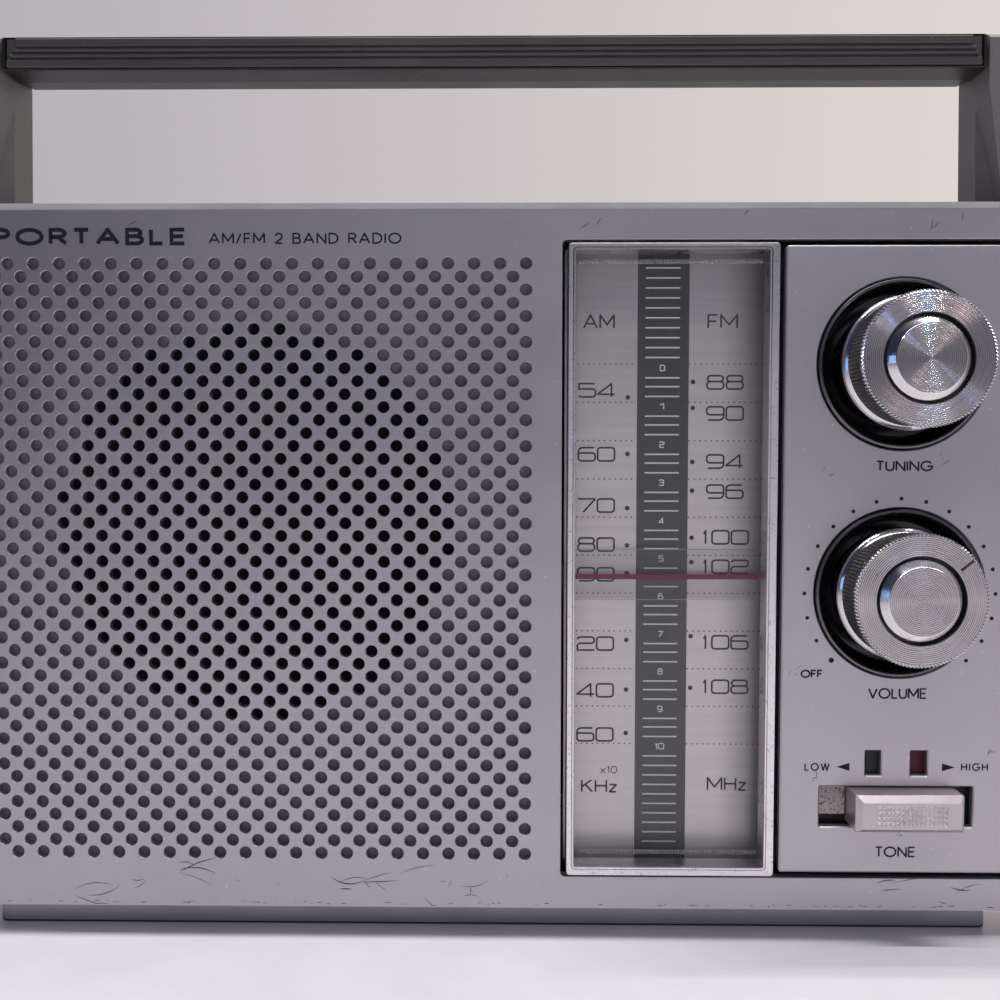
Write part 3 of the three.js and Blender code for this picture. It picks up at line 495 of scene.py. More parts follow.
W = 1.08  # width of a wide figure for a height of 1
R = W - 0.2  # centre of the bends on its right
WIDE = {
    "0": (W, [[*bend(R, 0.8, 0, 90, 5), *bend(0.2, 0.8, 90, 180, 5), *bend(0.2, 0.2, 180, 270, 5),
               *bend(R, 0.2, 270, 360, 5), (W, 0.8)]]),
    "1": (0.3, [[(0, 0.76), (0.26, 1), (0.26, 0)]]),
    "2": (W, [[*arc(0.2, 0.82, 0.2, 0.18, 180, 90, 4), *bend(R, 0.8, 90, 0), *bend(R, 0.72, 0, -90),
               *bend(0.2, 0.32, 90, 180), (0, 0), (W, 0)]]),
    "3": (W, [[*arc(0.2, 0.82, 0.2, 0.18, 180, 90, 4), *arc(W - 0.22, 0.76, 0.2, 0.24, 90, -90, 6),
               (0.3, 0.52), *arc(R, 0.27, 0.2, 0.25, 90, -90, 6), *bend(0.2, 0.2, 270, 180)]]),
    "4": (W, [[(W * 0.8, 0), (W * 0.8, 1), (0, 0.22), (0, 0.2), (W, 0.2)]]),
    "5": (W, [[(W - 0.06, 1), (0.04, 1), (0.02, 0.6), (W - 0.22, 0.6), *bend(R, 0.4, 90, 0),
               *bend(R, 0.2, 0, -90), *arc(0.2, 0.16, 0.2, 0.16, 270, 200, 4)]]),
    "6": (W, [[(W - 0.08, 1), *arc(0.3, 0.72, 0.3, 0.28, 90, 180, 5), *bend(0.2, 0.2, 180, 270),
               *bend(R, 0.2, 270, 360), *bend(R, 0.4, 0, 90), (0.04, 0.6)]]),
    "7": (W, [[(0, 1), (W, 1), (W, 0.97), (0.34, 0)]]),
    "8": (W, [[*arc(W - 0.22, 0.78, 0.18, 0.22, -90, 90, 6), *arc(0.22, 0.78, 0.18, 0.22, 90, 270, 6),
               (W - 0.22, 0.56)],
              [*arc(R, 0.28, 0.2, 0.28, 90, -90, 8), *arc(0.2, 0.28, 0.2, 0.28, 270, 90, 8), (R, 0.56)]]),
    "9": (W, [[(0.08, 0), *arc(W - 0.3, 0.28, 0.3, 0.28, 270, 360, 5), *bend(R, 0.8, 0, 90),
               *bend(0.2, 0.8, 90, 180), *bend(0.2, 0.6, 180, 270), (W - 0.04, 0.4)]]),
}

LETTERS = {
    "A": (0.84, [[(0, 0), (0.42, 1), (0.84, 0)], [(0.14, 0.33), (0.7, 0.33)]]),
    "B": (0.6, [[(0.34, 0.53), (0, 0.53), (0, 1), *arc(0.34, 0.765, 0.2, 0.235, 90, -90, 8),
                 *arc(0.36, 0.265, 0.24, 0.265, 90, -90, 8), (0, 0), (0, 0.53)]]),
    "D": (0.72, [[(0, 0), (0, 1), *arc(0.24, 0.5, 0.48, 0.5, 90, -90, 12), (0, 0)]]),
    "E": (0.52, [[(0.52, 1), (0, 1), (0, 0), (0.52, 0)], [(0, 0.52), (0.47, 0.52)]]),
    "F": (0.5, [[(0.5, 1), (0, 1), (0, 0)], [(0, 0.52), (0.44, 0.52)]]),
    "G": (0.92, [arc(0.48, 0.5, 0.48, 0.5, 42, 318, 18),
                 [(0.54, 0.47), (0.94, 0.47), (0.94, 0.3), (0.84, 0.17)]]),
    "H": (0.68, [[(0, 0), (0, 1)], [(0.68, 0), (0.68, 1)], [(0, 0.52), (0.68, 0.52)]]),
    "I": (0.02, [[(0, 0), (0, 1)]]),
    "K": (0.66, [[(0, 0), (0, 1)], [(0.6, 1), (0.02, 0.45)], [(0.22, 0.63), (0.66, 0)]]),
    "L": (0.46, [[(0, 1), (0, 0), (0.46, 0)]]),
    "M": (0.88, [[(0, 0), (0, 1), (0.44, 0.25), (0.88, 1), (0.88, 0)]]),
    "N": (0.7, [[(0, 0), (0, 1), (0.7, 0), (0.7, 1)]]),
    "O": (0.98, [arc(0.49, 0.5, 0.49, 0.5, 90, 450, 26)]),
    "P": (0.56, [[(0, 0), (0, 1), *arc(0.28, 0.73, 0.28, 0.27, 90, -90, 10), (0, 0.46)]]),
    "R": (0.6, [[(0, 0), (0, 1), *arc(0.3, 0.74, 0.27, 0.26, 90, -90, 10), (0, 0.48)],
                [(0.3, 0.48), (0.62, 0)]]),
    "T": (0.56, [[(0, 1), (0.56, 1)], [(0.28, 1), (0.28, 0)]]),
    "U": (0.64, [[(0, 1), *arc(0.32, 0.32, 0.32, 0.32, 180, 360, 12), (0.64, 1)]]),
    "V": (0.76, [[(0, 1), (0.38, 0), (0.76, 1)]]),
    "W": (1.1, [[(0, 1), (0.28, 0), (0.55, 1), (0.82, 0), (1.1, 1)]]),
    "/": (0.34, [[(0, 0), (0.34, 1)]]),
    "z": (0.42, [[(0, 0.62), (0.42, 0.62), (0, 0), (0.42, 0)]]),
    "x": (0.5, [[(0, 0), (0.5, 0.7)], [(0, 0.7), (0.5, 0)]]),
    "2": (0.56, [[*arc(0.28, 0.72, 0.28, 0.28, 170, 0, 9), (0.5, 0.5), (0, 0), (0.58, 0)]]),
    "1": (0.16, [[(0, 0.84), (0.14, 1), (0.14, 0)]]),
    "0": (0.56, [arc(0.28, 0.5, 0.28, 0.5, 90, 450, 20)]),
    " ": (0.34, []),
}


def ribbon(build, points, width, y, slot=0):
    """A flat stroke along a line of (x, z) points, mitred at its corners."""
    closed = math.dist(points[0], points[-1]) < 1e-6
    line = [Vector(p) for p in (points[:-1] if closed else points)]
    line = [p for i, p in enumerate(line) if i == 0 or (p - line[i - 1]).length > 1e-5]
    count = len(line)
    left, right = [], []
    for i, here in enumerate(line):
        before = line[i - 1] if (closed or i > 0) else None
        after = line[(i + 1) % count] if (closed or i < count - 1) else None
        into = (here - before).normalized() if before is not None else (after - here).normalized()
        out = (after - here).normalized() if after is not None else into
        normal = Vector((-(into.y + out.y), into.x + out.x))
        normal = normal.normalized() if normal.length > 1e-6 else Vector((-into.y, into.x))
        square = Vector((-into.y, into.x))
        reach = min(width / 2 / max(normal.dot(square), 0.35), width * 0.64)
        left.append((here.x + normal.x * reach, y, here.y + normal.y * reach))
        right.append((here.x - normal.x * reach, y, here.y - normal.y * reach))
    faces = []
    for i in range(count if closed else count - 1):
        j = (i + 1) % count
        faces.append([i, j, count + j, count + i])
    build.add(left + right, faces, slot)


def unfolded(line, overlap):
    """The line cut where it doubles back sharply, so that both strokes keep their width and overlap there."""
    points = [Vector(p) for p in line]
    runs = [[points[0]]]
    for before, here, after in zip(points, points[1:], points[2:]):
        into, out = here - before, after - here
        if into.length > 0 and into.dot(out) < -0.2 * into.length * out.length:
            runs[-1].append(here + into.normalized() * overlap)
            runs.append([here - out.normalized() * overlap])
        else:
            runs[-1].append(here)
    runs[-1].append(points[-1])
    return runs


STROKE_LIFT = 0.0015  # strokes that cross lie this far apart


def lettering(build, text, left, right, bottom, top, stroke, y, glyphs=LETTERS, gap=0.26, slot=0):
    """Characters spread over an exact width and height, in millimetres."""
    natural = sum(glyphs[c][0] for c in text) + gap * (len(text) - 1)
    stretch = (right - left - stroke) / natural
    tall = top - bottom - stroke
    x = left + stroke / 2
    lift = 0
    for character in text:
        width, strokes = glyphs[character]
        for points in strokes:
            line = [(x + px * stretch, bottom + stroke / 2 + pz * tall) for px, pz in points]
            for run in unfolded(line, stroke * 0.3):
                ribbon(build, run, stroke, y - STROKE_LIFT * (lift % 4), slot)
                lift += 1
        x += (width + gap) * stretch


def disc(build, x, z, radius, y, sides=14):
    turns = [math.tau * i / sides for i in range(sides)]
    rim = [(x + radius * math.cos(turn), y, z + radius * math.sin(turn)) for turn in turns]
    build.add(rim, [list(range(sides))])


def bar(build, x, z, y, slot=0):
    corners = [(x[0], y, z[0]), (x[1], y, z[0]), (x[1], y, z[1]), (x[0], y, z[1])]
    build.add(corners, [[0, 1, 2, 3]], slot)


# ---- front face with its grille
HOLE_PITCH = 6.0
HOLE_RADIUS = 1.4
HOLE_ROWS = 47
HOLE_START = (8.3, 156.3)
SHEET = 2.5  # thickness of the face
DIMPLE_DEPTH = 1.8
SPEAKER = (-54.6, 96.3)
SPEAKER_REACH = 46.2


def grille_holes():
    """Round holes in staggered rows: open in front of the speaker, blind dimples everywhere else."""
    holes = []
    for row in range(HOLE_ROWS):
        odd = row % 2
        z = HOLE_START[1] - row * HOLE_PITCH / 2
        for k in range(22 - odd):
            x = HOLE_START[0] - (k + odd / 2) * HOLE_PITCH
            through = math.dist((x, z), SPEAKER) < SPEAKER_REACH
            profile = [(0.12, 0), (0, 0.12), (0, SHEET if through else DIMPLE_DEPTH)]
            holes.append((circle(x, z, HOLE_RADIUS, 22), profile, through, 1))
    return holes


EDGE = [(-0.9, 0), (-0.8, 0.05), (-0.1, 1.15), (0, 1.5)]
TOP_EDGE = 2.1  # the bevel along the top is this many times as tall as the one along the sides
FOOT_EDGE = 0.3  # and the one along the bottom is this many times as tall
low, high = extent("front_bezel")
face = Build()
opening = (rounded(16.7, 123.1, 13.1, 161.6, 1.0, 4), [(0.3, 0), (0.08, 0.08), (0, 0.3), (0, SHEET)], True, 0)
rim = [*EDGE, (0, high.y), (-SHEET, high.y), (-SHEET, SHEET)]
plate(face, rounded(low.x, high.x, low.z, high.z, 2.5), rim, [opening, *grille_holes()],
      edge_steps=len(EDGE) - 1, edge_slot=2)
for i, (x, y, z) in enumerate(face.points):
    if z > high.z + EDGE[0][0] - 0.01:
        face.points[i] = (x, y, high.z - (high.z - z) * TOP_EDGE)
    elif z < low.z - EDGE[0][0] + 0.01:
        face.points[i] = (x, y, low.z + (z - low.z) * FOOT_EDGE)
WORN_EDGE = moulded("worn_edge", (0.2, 0.198, 0.215), 0.75, grain=700.0, depth=0.06, metallic=0.1,
                    vary=0.3, dust=0.25)
face.make("front_face", "case", [SILVER, DIMPLE, WORN_EDGE], ["front_bezel"])

# ---- control panel
TUNING = (95.1, 133.2)
VOLUME = (95.1, 80.3)
SLOT_X, SLOT_Z = (77.15, 112.9), (25.3, 34.9)
WINDOW_Z = (37.4, 43.3)
low, high = extent("control_panel")
soft_edge = [(0.28, 0), (0, 0.28), (0, high.y)]
openings = [(circle(x, z, 19.8, 96), soft_edge, True, 0) for x, z in (TUNING, VOLUME)]
openings.append((rounded(*SLOT_X, *SLOT_Z, 0.3, 3), soft_edge, True, 0))
for window_x in ((87.8, 91.5), (98.3, 102.2)):
    openings.append((rounded(*window_x, *WINDOW_Z, 0.2, 3), soft_edge, True, 0))
panel = Build()
plate(panel, rounded(low.x, high.x, low.z, high.z, 0.6, 4), [(-0.36, 0), (0, 0.24), (0, high.y)], openings)
PANEL_TOP_EDGE = 1.6
for i, (x, y, z) in enumerate(panel.points):
    if z > high.z - 0.37:
        panel.points[i] = (x, y, high.z - (high.z - z) * PANEL_TOP_EDGE)
panel.make("panel", "case", [SILVER], ["control_panel"])

# ---- dial frame and the teeth of its lens
low, high = extent("dial_frame")
GLASS = (19.8, 64.0, 15.7, 159.2)
outside = [(-0.22, -0.9), (-0.06, -0.84), (0, -0.68), (0, high.y)]
inside = [(0.75, -0.82), (0.55, -0.5), (0.45, -0.85), (0.15, -0.85), (0, -0.6), (0, high.y)]
window = (rounded(*GLASS, 0.3, 3), inside, True, 0)
trim = Build()
plate(trim, rounded(low.x, high.x, low.z, high.z, 0.8, 4), outside, [window])
trim.make("dial_trim", "case", [CHROME], ["dial_frame"], smooth=20)

TOOTH_PITCH, TOOTH_WIDTH = 0.7, 0.62
PEAK = [[0, 1, 4], [1, 2, 4], [2, 3, 4], [3, 0, 4]]  # the sides of a pyramid on corners 0 to 3
teeth = Build()
for base, side in ((GLASS[3] - 2.4, 1), (GLASS[2] + 2.4, -1)):
    x = GLASS[0] + 1.0
    while x < GLASS[1] - 1.0:
        right, far = x + TOOTH_WIDTH, base + side
        corners = [(x, 3.9, base), (right, 3.9, base), (right, 3.9, far), (x, 3.9, far)]
        teeth.add([*corners, (x + TOOTH_WIDTH / 2, 3.35, base + side * 0.5)], [*PEAK, [0, 3, 2, 1]])
        x += TOOTH_PITCH
teeth.make("lens_teeth", "case", [CLEAR_HIGHLIGHT], smooth=0)

# ---- knobs and their wells
def knob(name, node, cap_node, body, centre):
    """A ribbed knob with a toothed rim and a turned face. Returns the plane of its face."""
    x, z = centre
    front = extent(node)[0].y
    back = extent(node)[1].y
    spun = spun_metal(name + "_spun", x, z)
    shell = Build()

    def part(build, profile, sides, slot, wave=None):
        ring = [(radius, front + along) for radius, along in profile]
        turned(build, ring, (x, 0, z), "y", sides, slot, wave)

    def tooth(i):
        return 0.3 if i % 2 else 0.0

    def rim_tooth(i):
        return 0.3 if i % 2 else -0.1

    part(shell, [(0, 1.8), (9.8, 1.8), (9.8, 0.15), (9.95, 0)], 96, 2)
    part(shell, [(9.95, 0), (14.25, 0)], 144, 0)
    part(shell, [(14.25, 0), (14.4, 0.03), (14.68, 0.42), (14.7, 1.1), (14.3, 1.5)], 224, 4, rim_tooth)
    part(shell, [(14.0, 1.5), (14.1, 1.9), (14.15, 10.0), (14.0, 10.3)], 208, 3, tooth)
    part(shell, [(14.3, 10.3), (14.9, 10.7), (15.3, 11.2), (15.45, 11.8), (15.35, 12.3), (15.0, 12.8),
                 (13.5, 13.0)], 144, 1)
    part(shell, [(13.5, 13.0), (13.5, back - front), (3.3, back - front), (3.3, 3.8), (0, 3.8)], 96, 2)
    piece = shell.make(name, body, [spun, BRIGHT, BLACK, RIBBED, RIM], [node], smooth=35, flat=(3, 4))
    cap = Build()
    part(cap, [(0, 1.5), (9.15, 1.5), (9.2, 0.3), (9.1, 0.15), (7.75, -1.08), (7.55, -1.15)], 128, 1)
    part(cap, [(7.55, -1.15), (0, -1.15)], 128, 0)
    cap.make(name + "_disc", body, [spun, BRIGHT], [cap_node], smooth=25)
    return front


def well(name, node, centre):
    x, z = centre
    spot = (x, 0, z)
    cup = Build()
    lip = [(19.5, 8), (19.5, -0.25), (19.3, -0.52), (19.0, -0.6), (18.75, -0.5), (18.3, 0.35)]
    bowl = [(18.3, 0.35), (17.9, 1.6), (17.8, 5.6), (17.2, 6.8), (16.2, 7.1), (3.3, 7.1), (3.3, 8), (19.5, 8)]
    turned(cup, lip, spot, sides=128, slot=1)
    turned(cup, bowl, spot, sides=128)
    cup.make(name, "case", [GLOSS_BLACK, LIP], [node])


GLOSS_BLACK = moulded("gloss_black", (0.006, 0.006, 0.008), 0.16, grain=300.0, depth=0.01, dust=0.05)
LIP = moulded("well_lip", (0.15, 0.15, 0.16), 0.26, grain=1200.0, depth=0.01, metallic=0.95)
RIM = moulded("knurled_rim", (0.85, 0.84, 0.86), 0.16, grain=1500.0, depth=0.01, metallic=1.0, vary=0.1)
RIBBED = moulded("ribbed_side", (0.16, 0.15, 0.145), 0.45, grain=1200.0, metallic=0.85, dust=0.2)
knob("tuning_dial_knob", "tuning_knob", "tuning_cap", "tuning", TUNING)
volume_front = knob("volume_dial_knob", "volume_knob", "volume_cap", "volume", VOLUME)
well("tuning_cup", "tuning_well", TUNING)
well("volume_cup", "volume_well", VOLUME)

MARK_ANGLE = math.radians(90 - 51)
notch = Build()
along = Vector((math.cos(MARK_ANGLE), math.sin(MARK_ANGLE)))
square = Vector((-along.y, along.x))
for slot, half, proud in ((1, 0.58, 0.02), (0, 0.32, 0.04)):
    corners = [Vector(VOLUME) + along * reach + square * half * side
               for reach, side in ((10.8, -1), (14.2, -1), (14.2, 1), (10.8, 1))]
    points = [(c.x, volume_front + depth, c.y) for depth in (-proud, 0.05) for c in corners]
    notch.add(points, [[0, 1, 2, 3], [0, 1, 5, 4], [1, 2, 6, 5], [2, 3, 7, 6], [3, 0, 4, 7]], slot)
NOTCH = ink("notch_paint", (0.09, 0.014, 0.012))
NOTCH_EDGE = ink("notch_edge", (0.5, 0.47, 0.47))
notch.make("volume_mark", "volume", [NOTCH, NOTCH_EDGE], smooth=0)

# ---- tone control
low, high = extent("tone_knob")
grip = Build()


def grip_loop(inset):
    """The knob's outline, and for 1 the smaller rectangle of its front face."""
    left, right = low.x + 1.5 * inset, high.x - 0.8 * inset
    bottom, top = low.z + 0.9 * inset, high.z - 1.7 * inset
    return rounded(left, right, bottom, top, 0.3, 3)(0)


bevel = [(1, 0), (0.96, 0.01), (0.03, 0.85), (0, 0.95)]
rings = wall(grip, grip_loop, [*[(inset, low.y + depth) for inset, depth in bevel], (0, 2.9)])
fill(grip, rings[0], [])
fill(grip, rings[-1], [])
block(grip, (low.x + 6, high.x - 6), (2.8, 6), (29.2, 31.2))
PATCH_X, PATCH_Z = (88.8, 104.9), (27.4, 32.2)
COLUMNS, ROWS = 16, 4
wide, tall = (PATCH_X[1] - PATCH_X[0]) / COLUMNS, (PATCH_Z[1] - PATCH_Z[0]) / ROWS
base = low.y - 0.01
for row in range(ROWS):
    for column in range(COLUMNS):
        x, z = PATCH_X[0] + wide * column, PATCH_Z[0] + tall * row
        corners = [(x, base, z), (x + wide, base, z), (x + wide, base, z + tall), (x, base, z + tall)]
        grip.add([*corners, (x + wide / 2, low.y - 0.42, z + tall / 2)], PEAK, 1)
SATIN = moulded("satin_aluminium", (0.52, 0.475, 0.485), 0.34, depth=0.02, metallic=0.7, vary=0.1, dust=0.15)
PYRAMID = moulded("pyramid_metal", (0.62, 0.59, 0.61), 0.2, depth=0.01, metallic=1.0, vary=0.2)
piece = grip.make("tone_grip", "tone", [SATIN, PYRAMID], ["tone_knob"], smooth=20, flat=(1,))

skirt = Build()
block(skirt, (77.3, 83.8), (2.2, 2.8), (27.6, 35.2), 0.1)
SPECKLED = moulded("speckled_plate", (0.5, 0.45, 0.44), 0.6, grain=500.0, depth=0.05)
tree = Tree(SPECKLED)
speckled = tree.specks(tree.base_colour(), (0.05, 0.045, 0.045, 1), 1300.0, 0.57, 0.6, 0.85)
tree.surface({"Base Color": speckled})
skirt.make("tone_skirt", "tone", [SPECKLED], smooth=0)

low, high = extent("tone_flag")
flag = Build()
for slot, reach in ((1, (low.x, 92.3)), (0, (92.3, 102.6)), (1, (102.6, high.x))):
    block(flag, reach, (low.y, high.y), (low.z, high.z), 0.0, slot)
RED = moulded("flag_red", (0.07, 0.001, 0.01), 0.5)
flag.make("tone_marker", "tone", [RED, INNER], ["tone_flag"], smooth=0)

# ---- printing on the dial
low, high = extent("dial_plate")
INK_Y = low.y - 0.02
SCALE_TOP, SCALE_FOOT = 133.0, 41.7  # heights of the figures 0 and 10 on the strip
SPACING = (SCALE_TOP - SCALE_FOOT) / 10
TICKS = (0.255, 0.485, 0.74)  # shares of the way from one figure to the next
STRIP_X, STRIP_MIDDLE = (35.0, 47.3), 41.0
TICK_X, TICK_HALF = (36.9, 45.1), 0.17
dial = Build()
bar(dial, STRIP_X, (low.z, high.z), INK_Y, 1)


def tick(z):
    bar(dial, TICK_X, (z - TICK_HALF, z + TICK_HALF), INK_Y - 0.02, 2)


for step in range(11):
    z = SCALE_TOP - SPACING * step
    reach = 0.64 if step < 10 else 1.15
    lettering(dial, str(step), STRIP_MIDDLE - reach, STRIP_MIDDLE + reach, z - 0.78, z + 0.78, 0.25,
              INK_Y - 0.03, glyphs=WIDE, gap=0.3, slot=2)
    if step < 10:
        for share in TICKS:
            tick(z - SPACING * share)
for i in range(10):
    for start, end in ((135.5, 156.7), (39.3, 18.3)):
        tick(start + (end - start) * i / 9)
for step in range(11):
    z = 134.0 - 9.17 * step
    for start, end, count in ((20.8, 33.8, 11), (47.5, 64.8, 14)):
        for i in range(count):
            disc(dial, start + (end - start) * i / (count - 1), z, 0.19, INK_Y, 8)

DIAL_STROKE = 0.43
for text, left, right, bottom, top in (
        ("AM", 22.0, 29.6, 142.3, 145.8), ("FM", 51.6, 58.9, 142.3, 145.8),
        ("KHz", 22.0, 30.8, 30.2, 33.5), ("MHz", 52.5, 62.1, 30.8, 34.2)):
    lettering(dial, text, left, right, bottom, top, DIAL_STROKE, INK_Y, gap=0.2)
lettering(dial, "x10", 26.6, 30.8, 34.9, 36.8, 0.22, INK_Y, gap=0.2)

# each mark: its figures, the height of their foot and the height of their dot
AM_MARKS = (("54", 125.9, 126.0), ("60", 110.6, 112.5), ("70", 98.3, 99.5), ("80", 88.9, 90.5),
            ("90", 81.7, 83.8), ("120", 64.9, 67.6), ("140", 53.5, 55.5), ("160", 42.7, 44.9))
FM_MARKS = (("88", 127.8, 129.7), ("90", 120.4, 123.5), ("94", 108.9, 110.6), ("96", 101.7, 103.7),
            ("100", 90.7, 92.4), ("102", 83.6, 86.5), ("106", 65.3, 68.6), ("108", 54.5, 56.0))
FIGURE_TALL = 3.6
PAIR_WIDE = 9.1  # width of two figures


def mark(text, left, bottom, one):
    """Two wide figures, and before them the 1 of a longer number, at (left, right) from their left edge."""
    top = bottom + FIGURE_TALL
    lettering(dial, text[-2:], left, left + PAIR_WIDE, bottom, top, DIAL_STROKE, INK_Y, WIDE, gap=0.16)
    if len(text) > 2:
        lettering(dial, "1", left + one[0], left + one[1], bottom, top, DIAL_STROKE, INK_Y, WIDE)


for text, bottom, dot in AM_MARKS:
    mark(text, 29.9 - PAIR_WIDE, bottom, (-1.35, -0.45))
    disc(dial, 32.8, dot, 0.56, INK_Y - 0.03, 20)
for text, bottom, dot in FM_MARKS:
    left = 51.4 + (127.8 - bottom) / (127.8 - 54.5) * 0.6
    if len(text) > 2:
        left += 1.3
    mark(text, left, bottom, (-2.0, -1.05))
    disc(dial, 48.3, dot, 0.56, INK_Y - 0.03, 20)
STRIP_INK = ink("dial_strip_ink", (0.05, 0.049, 0.056), 0.12, roughness=0.4, gloss=0.9)
dial_print = dial.make("dial_print", "case", [DIAL_INK, STRIP_INK, PALE_INK], smooth=0, fix_normals=False)

# ---- printing on the face and panel
labels = Build()
PRINT_Y = -0.02
lettering(labels, "PORTABLE", -115.0, -70.0, 160.4, 164.5, 0.95, PRINT_Y, gap=0.36)
lettering(labels, "AM/FM 2 BAND RADIO", -64.9, -20.35, 160.7, 163.3, 0.4, PRINT_Y, gap=0.3)
for text, left, right, middle_z, cap, stroke in (
        ("TUNING", 89.1, 102.2, 109.8, 2.5, 0.42), ("VOLUME", 88.1, 101.8, 56.85, 2.6, 0.42),
        ("TONE", 90.3, 99.8, 19.4, 2.6, 0.42), ("OFF", 72.4, 77.6, 61.4, 2.0, 0.42),
        ("LOW", 73.6, 79.5, 39.45, 1.9, 0.34), ("HIGH", 110.0, 116.3, 39.6, 1.9, 0.34)):
    lettering(labels, text, left, right, middle_z - cap / 2, middle_z + cap / 2, stroke, PRINT_Y,
              gap=0.42 if cap < 2 else 0.22)
for tip, base in ((81.1, 84.1), (108.6, 105.6)):
    labels.add([(tip, PRINT_Y, 39.5), (base, PRINT_Y, 40.45), (base, PRINT_Y, 38.55)], [[0, 1, 2]])
DOT_REACH = 22.05  # from the middle of the volume knob to the dots round it
for i in range(19):
    turn = math.radians(225 - 15 * i)
    x, z = VOLUME[0] + DOT_REACH * math.cos(turn), VOLUME[1] - 0.1 + DOT_REACH * math.sin(turn)
    disc(labels, x, z, 0.62 if i == 0 else 0.46, PRINT_Y)
printed = labels.make("face_print", "case", [DARK_INK], smooth=0, fix_normals=False)

# ---- wear on the face
draws = random.Random(11)
wear = Build()
FACE_FOOT = 5.75  # lowest printed height on the flat of the face


def scratch(x, z, length, heading, curl, width, slot):
    """A curved scratch that narrows to a point at both ends."""
    steps = 8
    points = []
    for i in range(steps + 1):
        points.append((x, z, width * math.sin(math.pi * (0.06 + 0.88 * i / steps))))
        x += math.cos(heading) * length / steps
        z += math.sin(heading) * length / steps
        heading += curl / steps
    flat = []
    for i, (px, pz, wide) in enumerate(points):
        pz = max(pz, FACE_FOOT + wide / 2)
        ahead = points[min(i + 1, steps)]
        behind = points[max(i - 1, 0)]
        along = Vector((ahead[0] - behind[0], ahead[1] - behind[1])).normalized()
        flat.append((px - along.y * wide / 2, PRINT_Y, pz + along.x * wide / 2))
        flat.append((px + along.y * wide / 2, PRINT_Y, pz - along.x * wide / 2))
    wear.add(flat, [[2 * i, 2 * i + 2, 2 * i + 3, 2 * i + 1] for i in range(steps)], slot)


SCUFFED_SPOTS = ((-30.0, 11.0, 9.0, 7), (-92.0, 10.0, 8.0, 5), (-70.0, 14.5, 6.0, 4), (100.0, 9.5, 10.0, 5),
                 (-8.0, 9.0, 8.0, 3))
NICKED_SPOTS = ((76.5, 36.9), (116.2, 42.2), (95.0, 24.0), (104.0, 110.4), (70.4, 62.0), (119.0, 105.0),
                (78.0, 108.0))
for x, z, spread, count in SCUFFED_SPOTS:
    for _ in range(count):
        scratch(x + draws.uniform(-spread, spread), z + draws.uniform(-2.5, 2.5), draws.uniform(3.0, 10.0),
                draws.uniform(-0.7, 0.9), draws.uniform(-1.2, 1.2), draws.uniform(0.12, 0.3), 0)
for _ in range(26):
    scratch(draws.uniform(-110, 118), draws.choice((draws.uniform(7.5, 12.5), draws.uniform(162, 167.5))),
            draws.uniform(0.8, 3.0), draws.uniform(-1.5, 1.5), draws.uniform(-0.8, 0.8),
            draws.uniform(0.08, 0.22), draws.choice((0, 0, 1)))
for x, z in NICKED_SPOTS:
    for _ in range(3):
        scratch(x + draws.uniform(-1.2, 1.2), z + draws.uniform(-1.2, 1.2), draws.uniform(0.8, 2.6),
                draws.uniform(-0.2, 1.6), draws.uniform(-0.6, 0.6), draws.uniform(0.08, 0.2), 0)
for _ in range(60):
    scratch(draws.uniform(-128, 128), draws.uniform(6.15, 6.6), draws.uniform(0.4, 2.0),
            draws.uniform(-0.08, 0.08), 0.0, draws.uniform(0.08, 0.2), 0)
PALE_WEAR = ink("pale_wear", (0.55, 0.54, 0.56), 0.1)
SCUFF = ink("scuff", (0.06, 0.06, 0.072), 0.3)
wear.make("face_wear", "case", [SCUFF, PALE_WEAR], smooth=0, fix_normals=False)

# ---- painted highlights along the pointer's edges
low, high = extent("pointer_plate")
edges = Build()
# pale strips along the top and bottom of the pointer, a painted highlight on its edges
for z in (low.z, high.z - 0.16):
    block(edges, (19.9, 63.5), (low.y - 0.1, low.y - 0.02), (z, z + 0.16), 0.03)
edges.make("pointer_highlights", "pointer", [CLEAR_HIGHLIGHT], smooth=0)

# ---- handle strip
low, high = extent("grip_strip")
strip = Build()
block(strip, (low.x, high.x), (low.y + 0.65, high.y), (low.z, high.z), 0.1)
RIBS = ((211.0, 212.9, 2.2), (209.7, 210.5, 1.4), (208.4, 209.2, 0.8), (205.9, 207.85, 0.0))
for bottom, top, inset in RIBS:
    block(strip, (low.x + inset, high.x - inset), (low.y, low.y + 0.66), (bottom, top), 0.26)
strip.make("grip_ribs", "handle", [STRIP], ["grip_strip"], smooth=0)

# ---- antenna
ROD_Y, ROD_Z = 67.5, 164.0
ROD = (0, ROD_Y, ROD_Z)
HINGE_X, TIP_X = 105.0, -110.5
TUBES = (("antenna_tube_1", "antenna_1", 3.5, 3.1), ("antenna_tube_2", "antenna_2", 2.8, 2.4),
         ("antenna_tube_3", "antenna_3", 2.1, 1.7))
for i, (node, body, outer, bore) in enumerate(TUBES):
    root, end = HINGE_X - 7 - 4 * i, TIP_X + 5 - 1.5 * i
    neck = outer - 0.12
    tube = Build()
    turned(tube, [(bore, root), (bore, end), (outer - 0.3, end), (outer, end + 0.3), (outer, end + 2.2),
                  (neck, end + 2.4), (neck, root - 0.2), (outer - 0.35, root), (bore, root)], ROD, "x", 40)
    if i == 0:
        plug = outer - 0.14
        turned(tube, [(0, root - 1.4), (plug, root - 1.4), (plug, root - 0.1), (0, root - 0.1)], ROD, "x", 40)
        block(tube, (root - 1, HINGE_X), (ROD_Y - 1.2, ROD_Y + 1.2), (ROD_Z - 2.4, ROD_Z + 2.4), 0.2)
        eye = [(1.3, -1.2), (2.4, -1.2), (2.4, 1.2), (1.3, 1.2), (1.3, -1.2)]
        turned(tube, [(radius, ROD_Y + along) for radius, along in eye], (HINGE_X, 0, ROD_Z), "y", 40)
    tube.make(f"antenna_stage_{i + 1}", body, [BRIGHT], [node], weld=True)
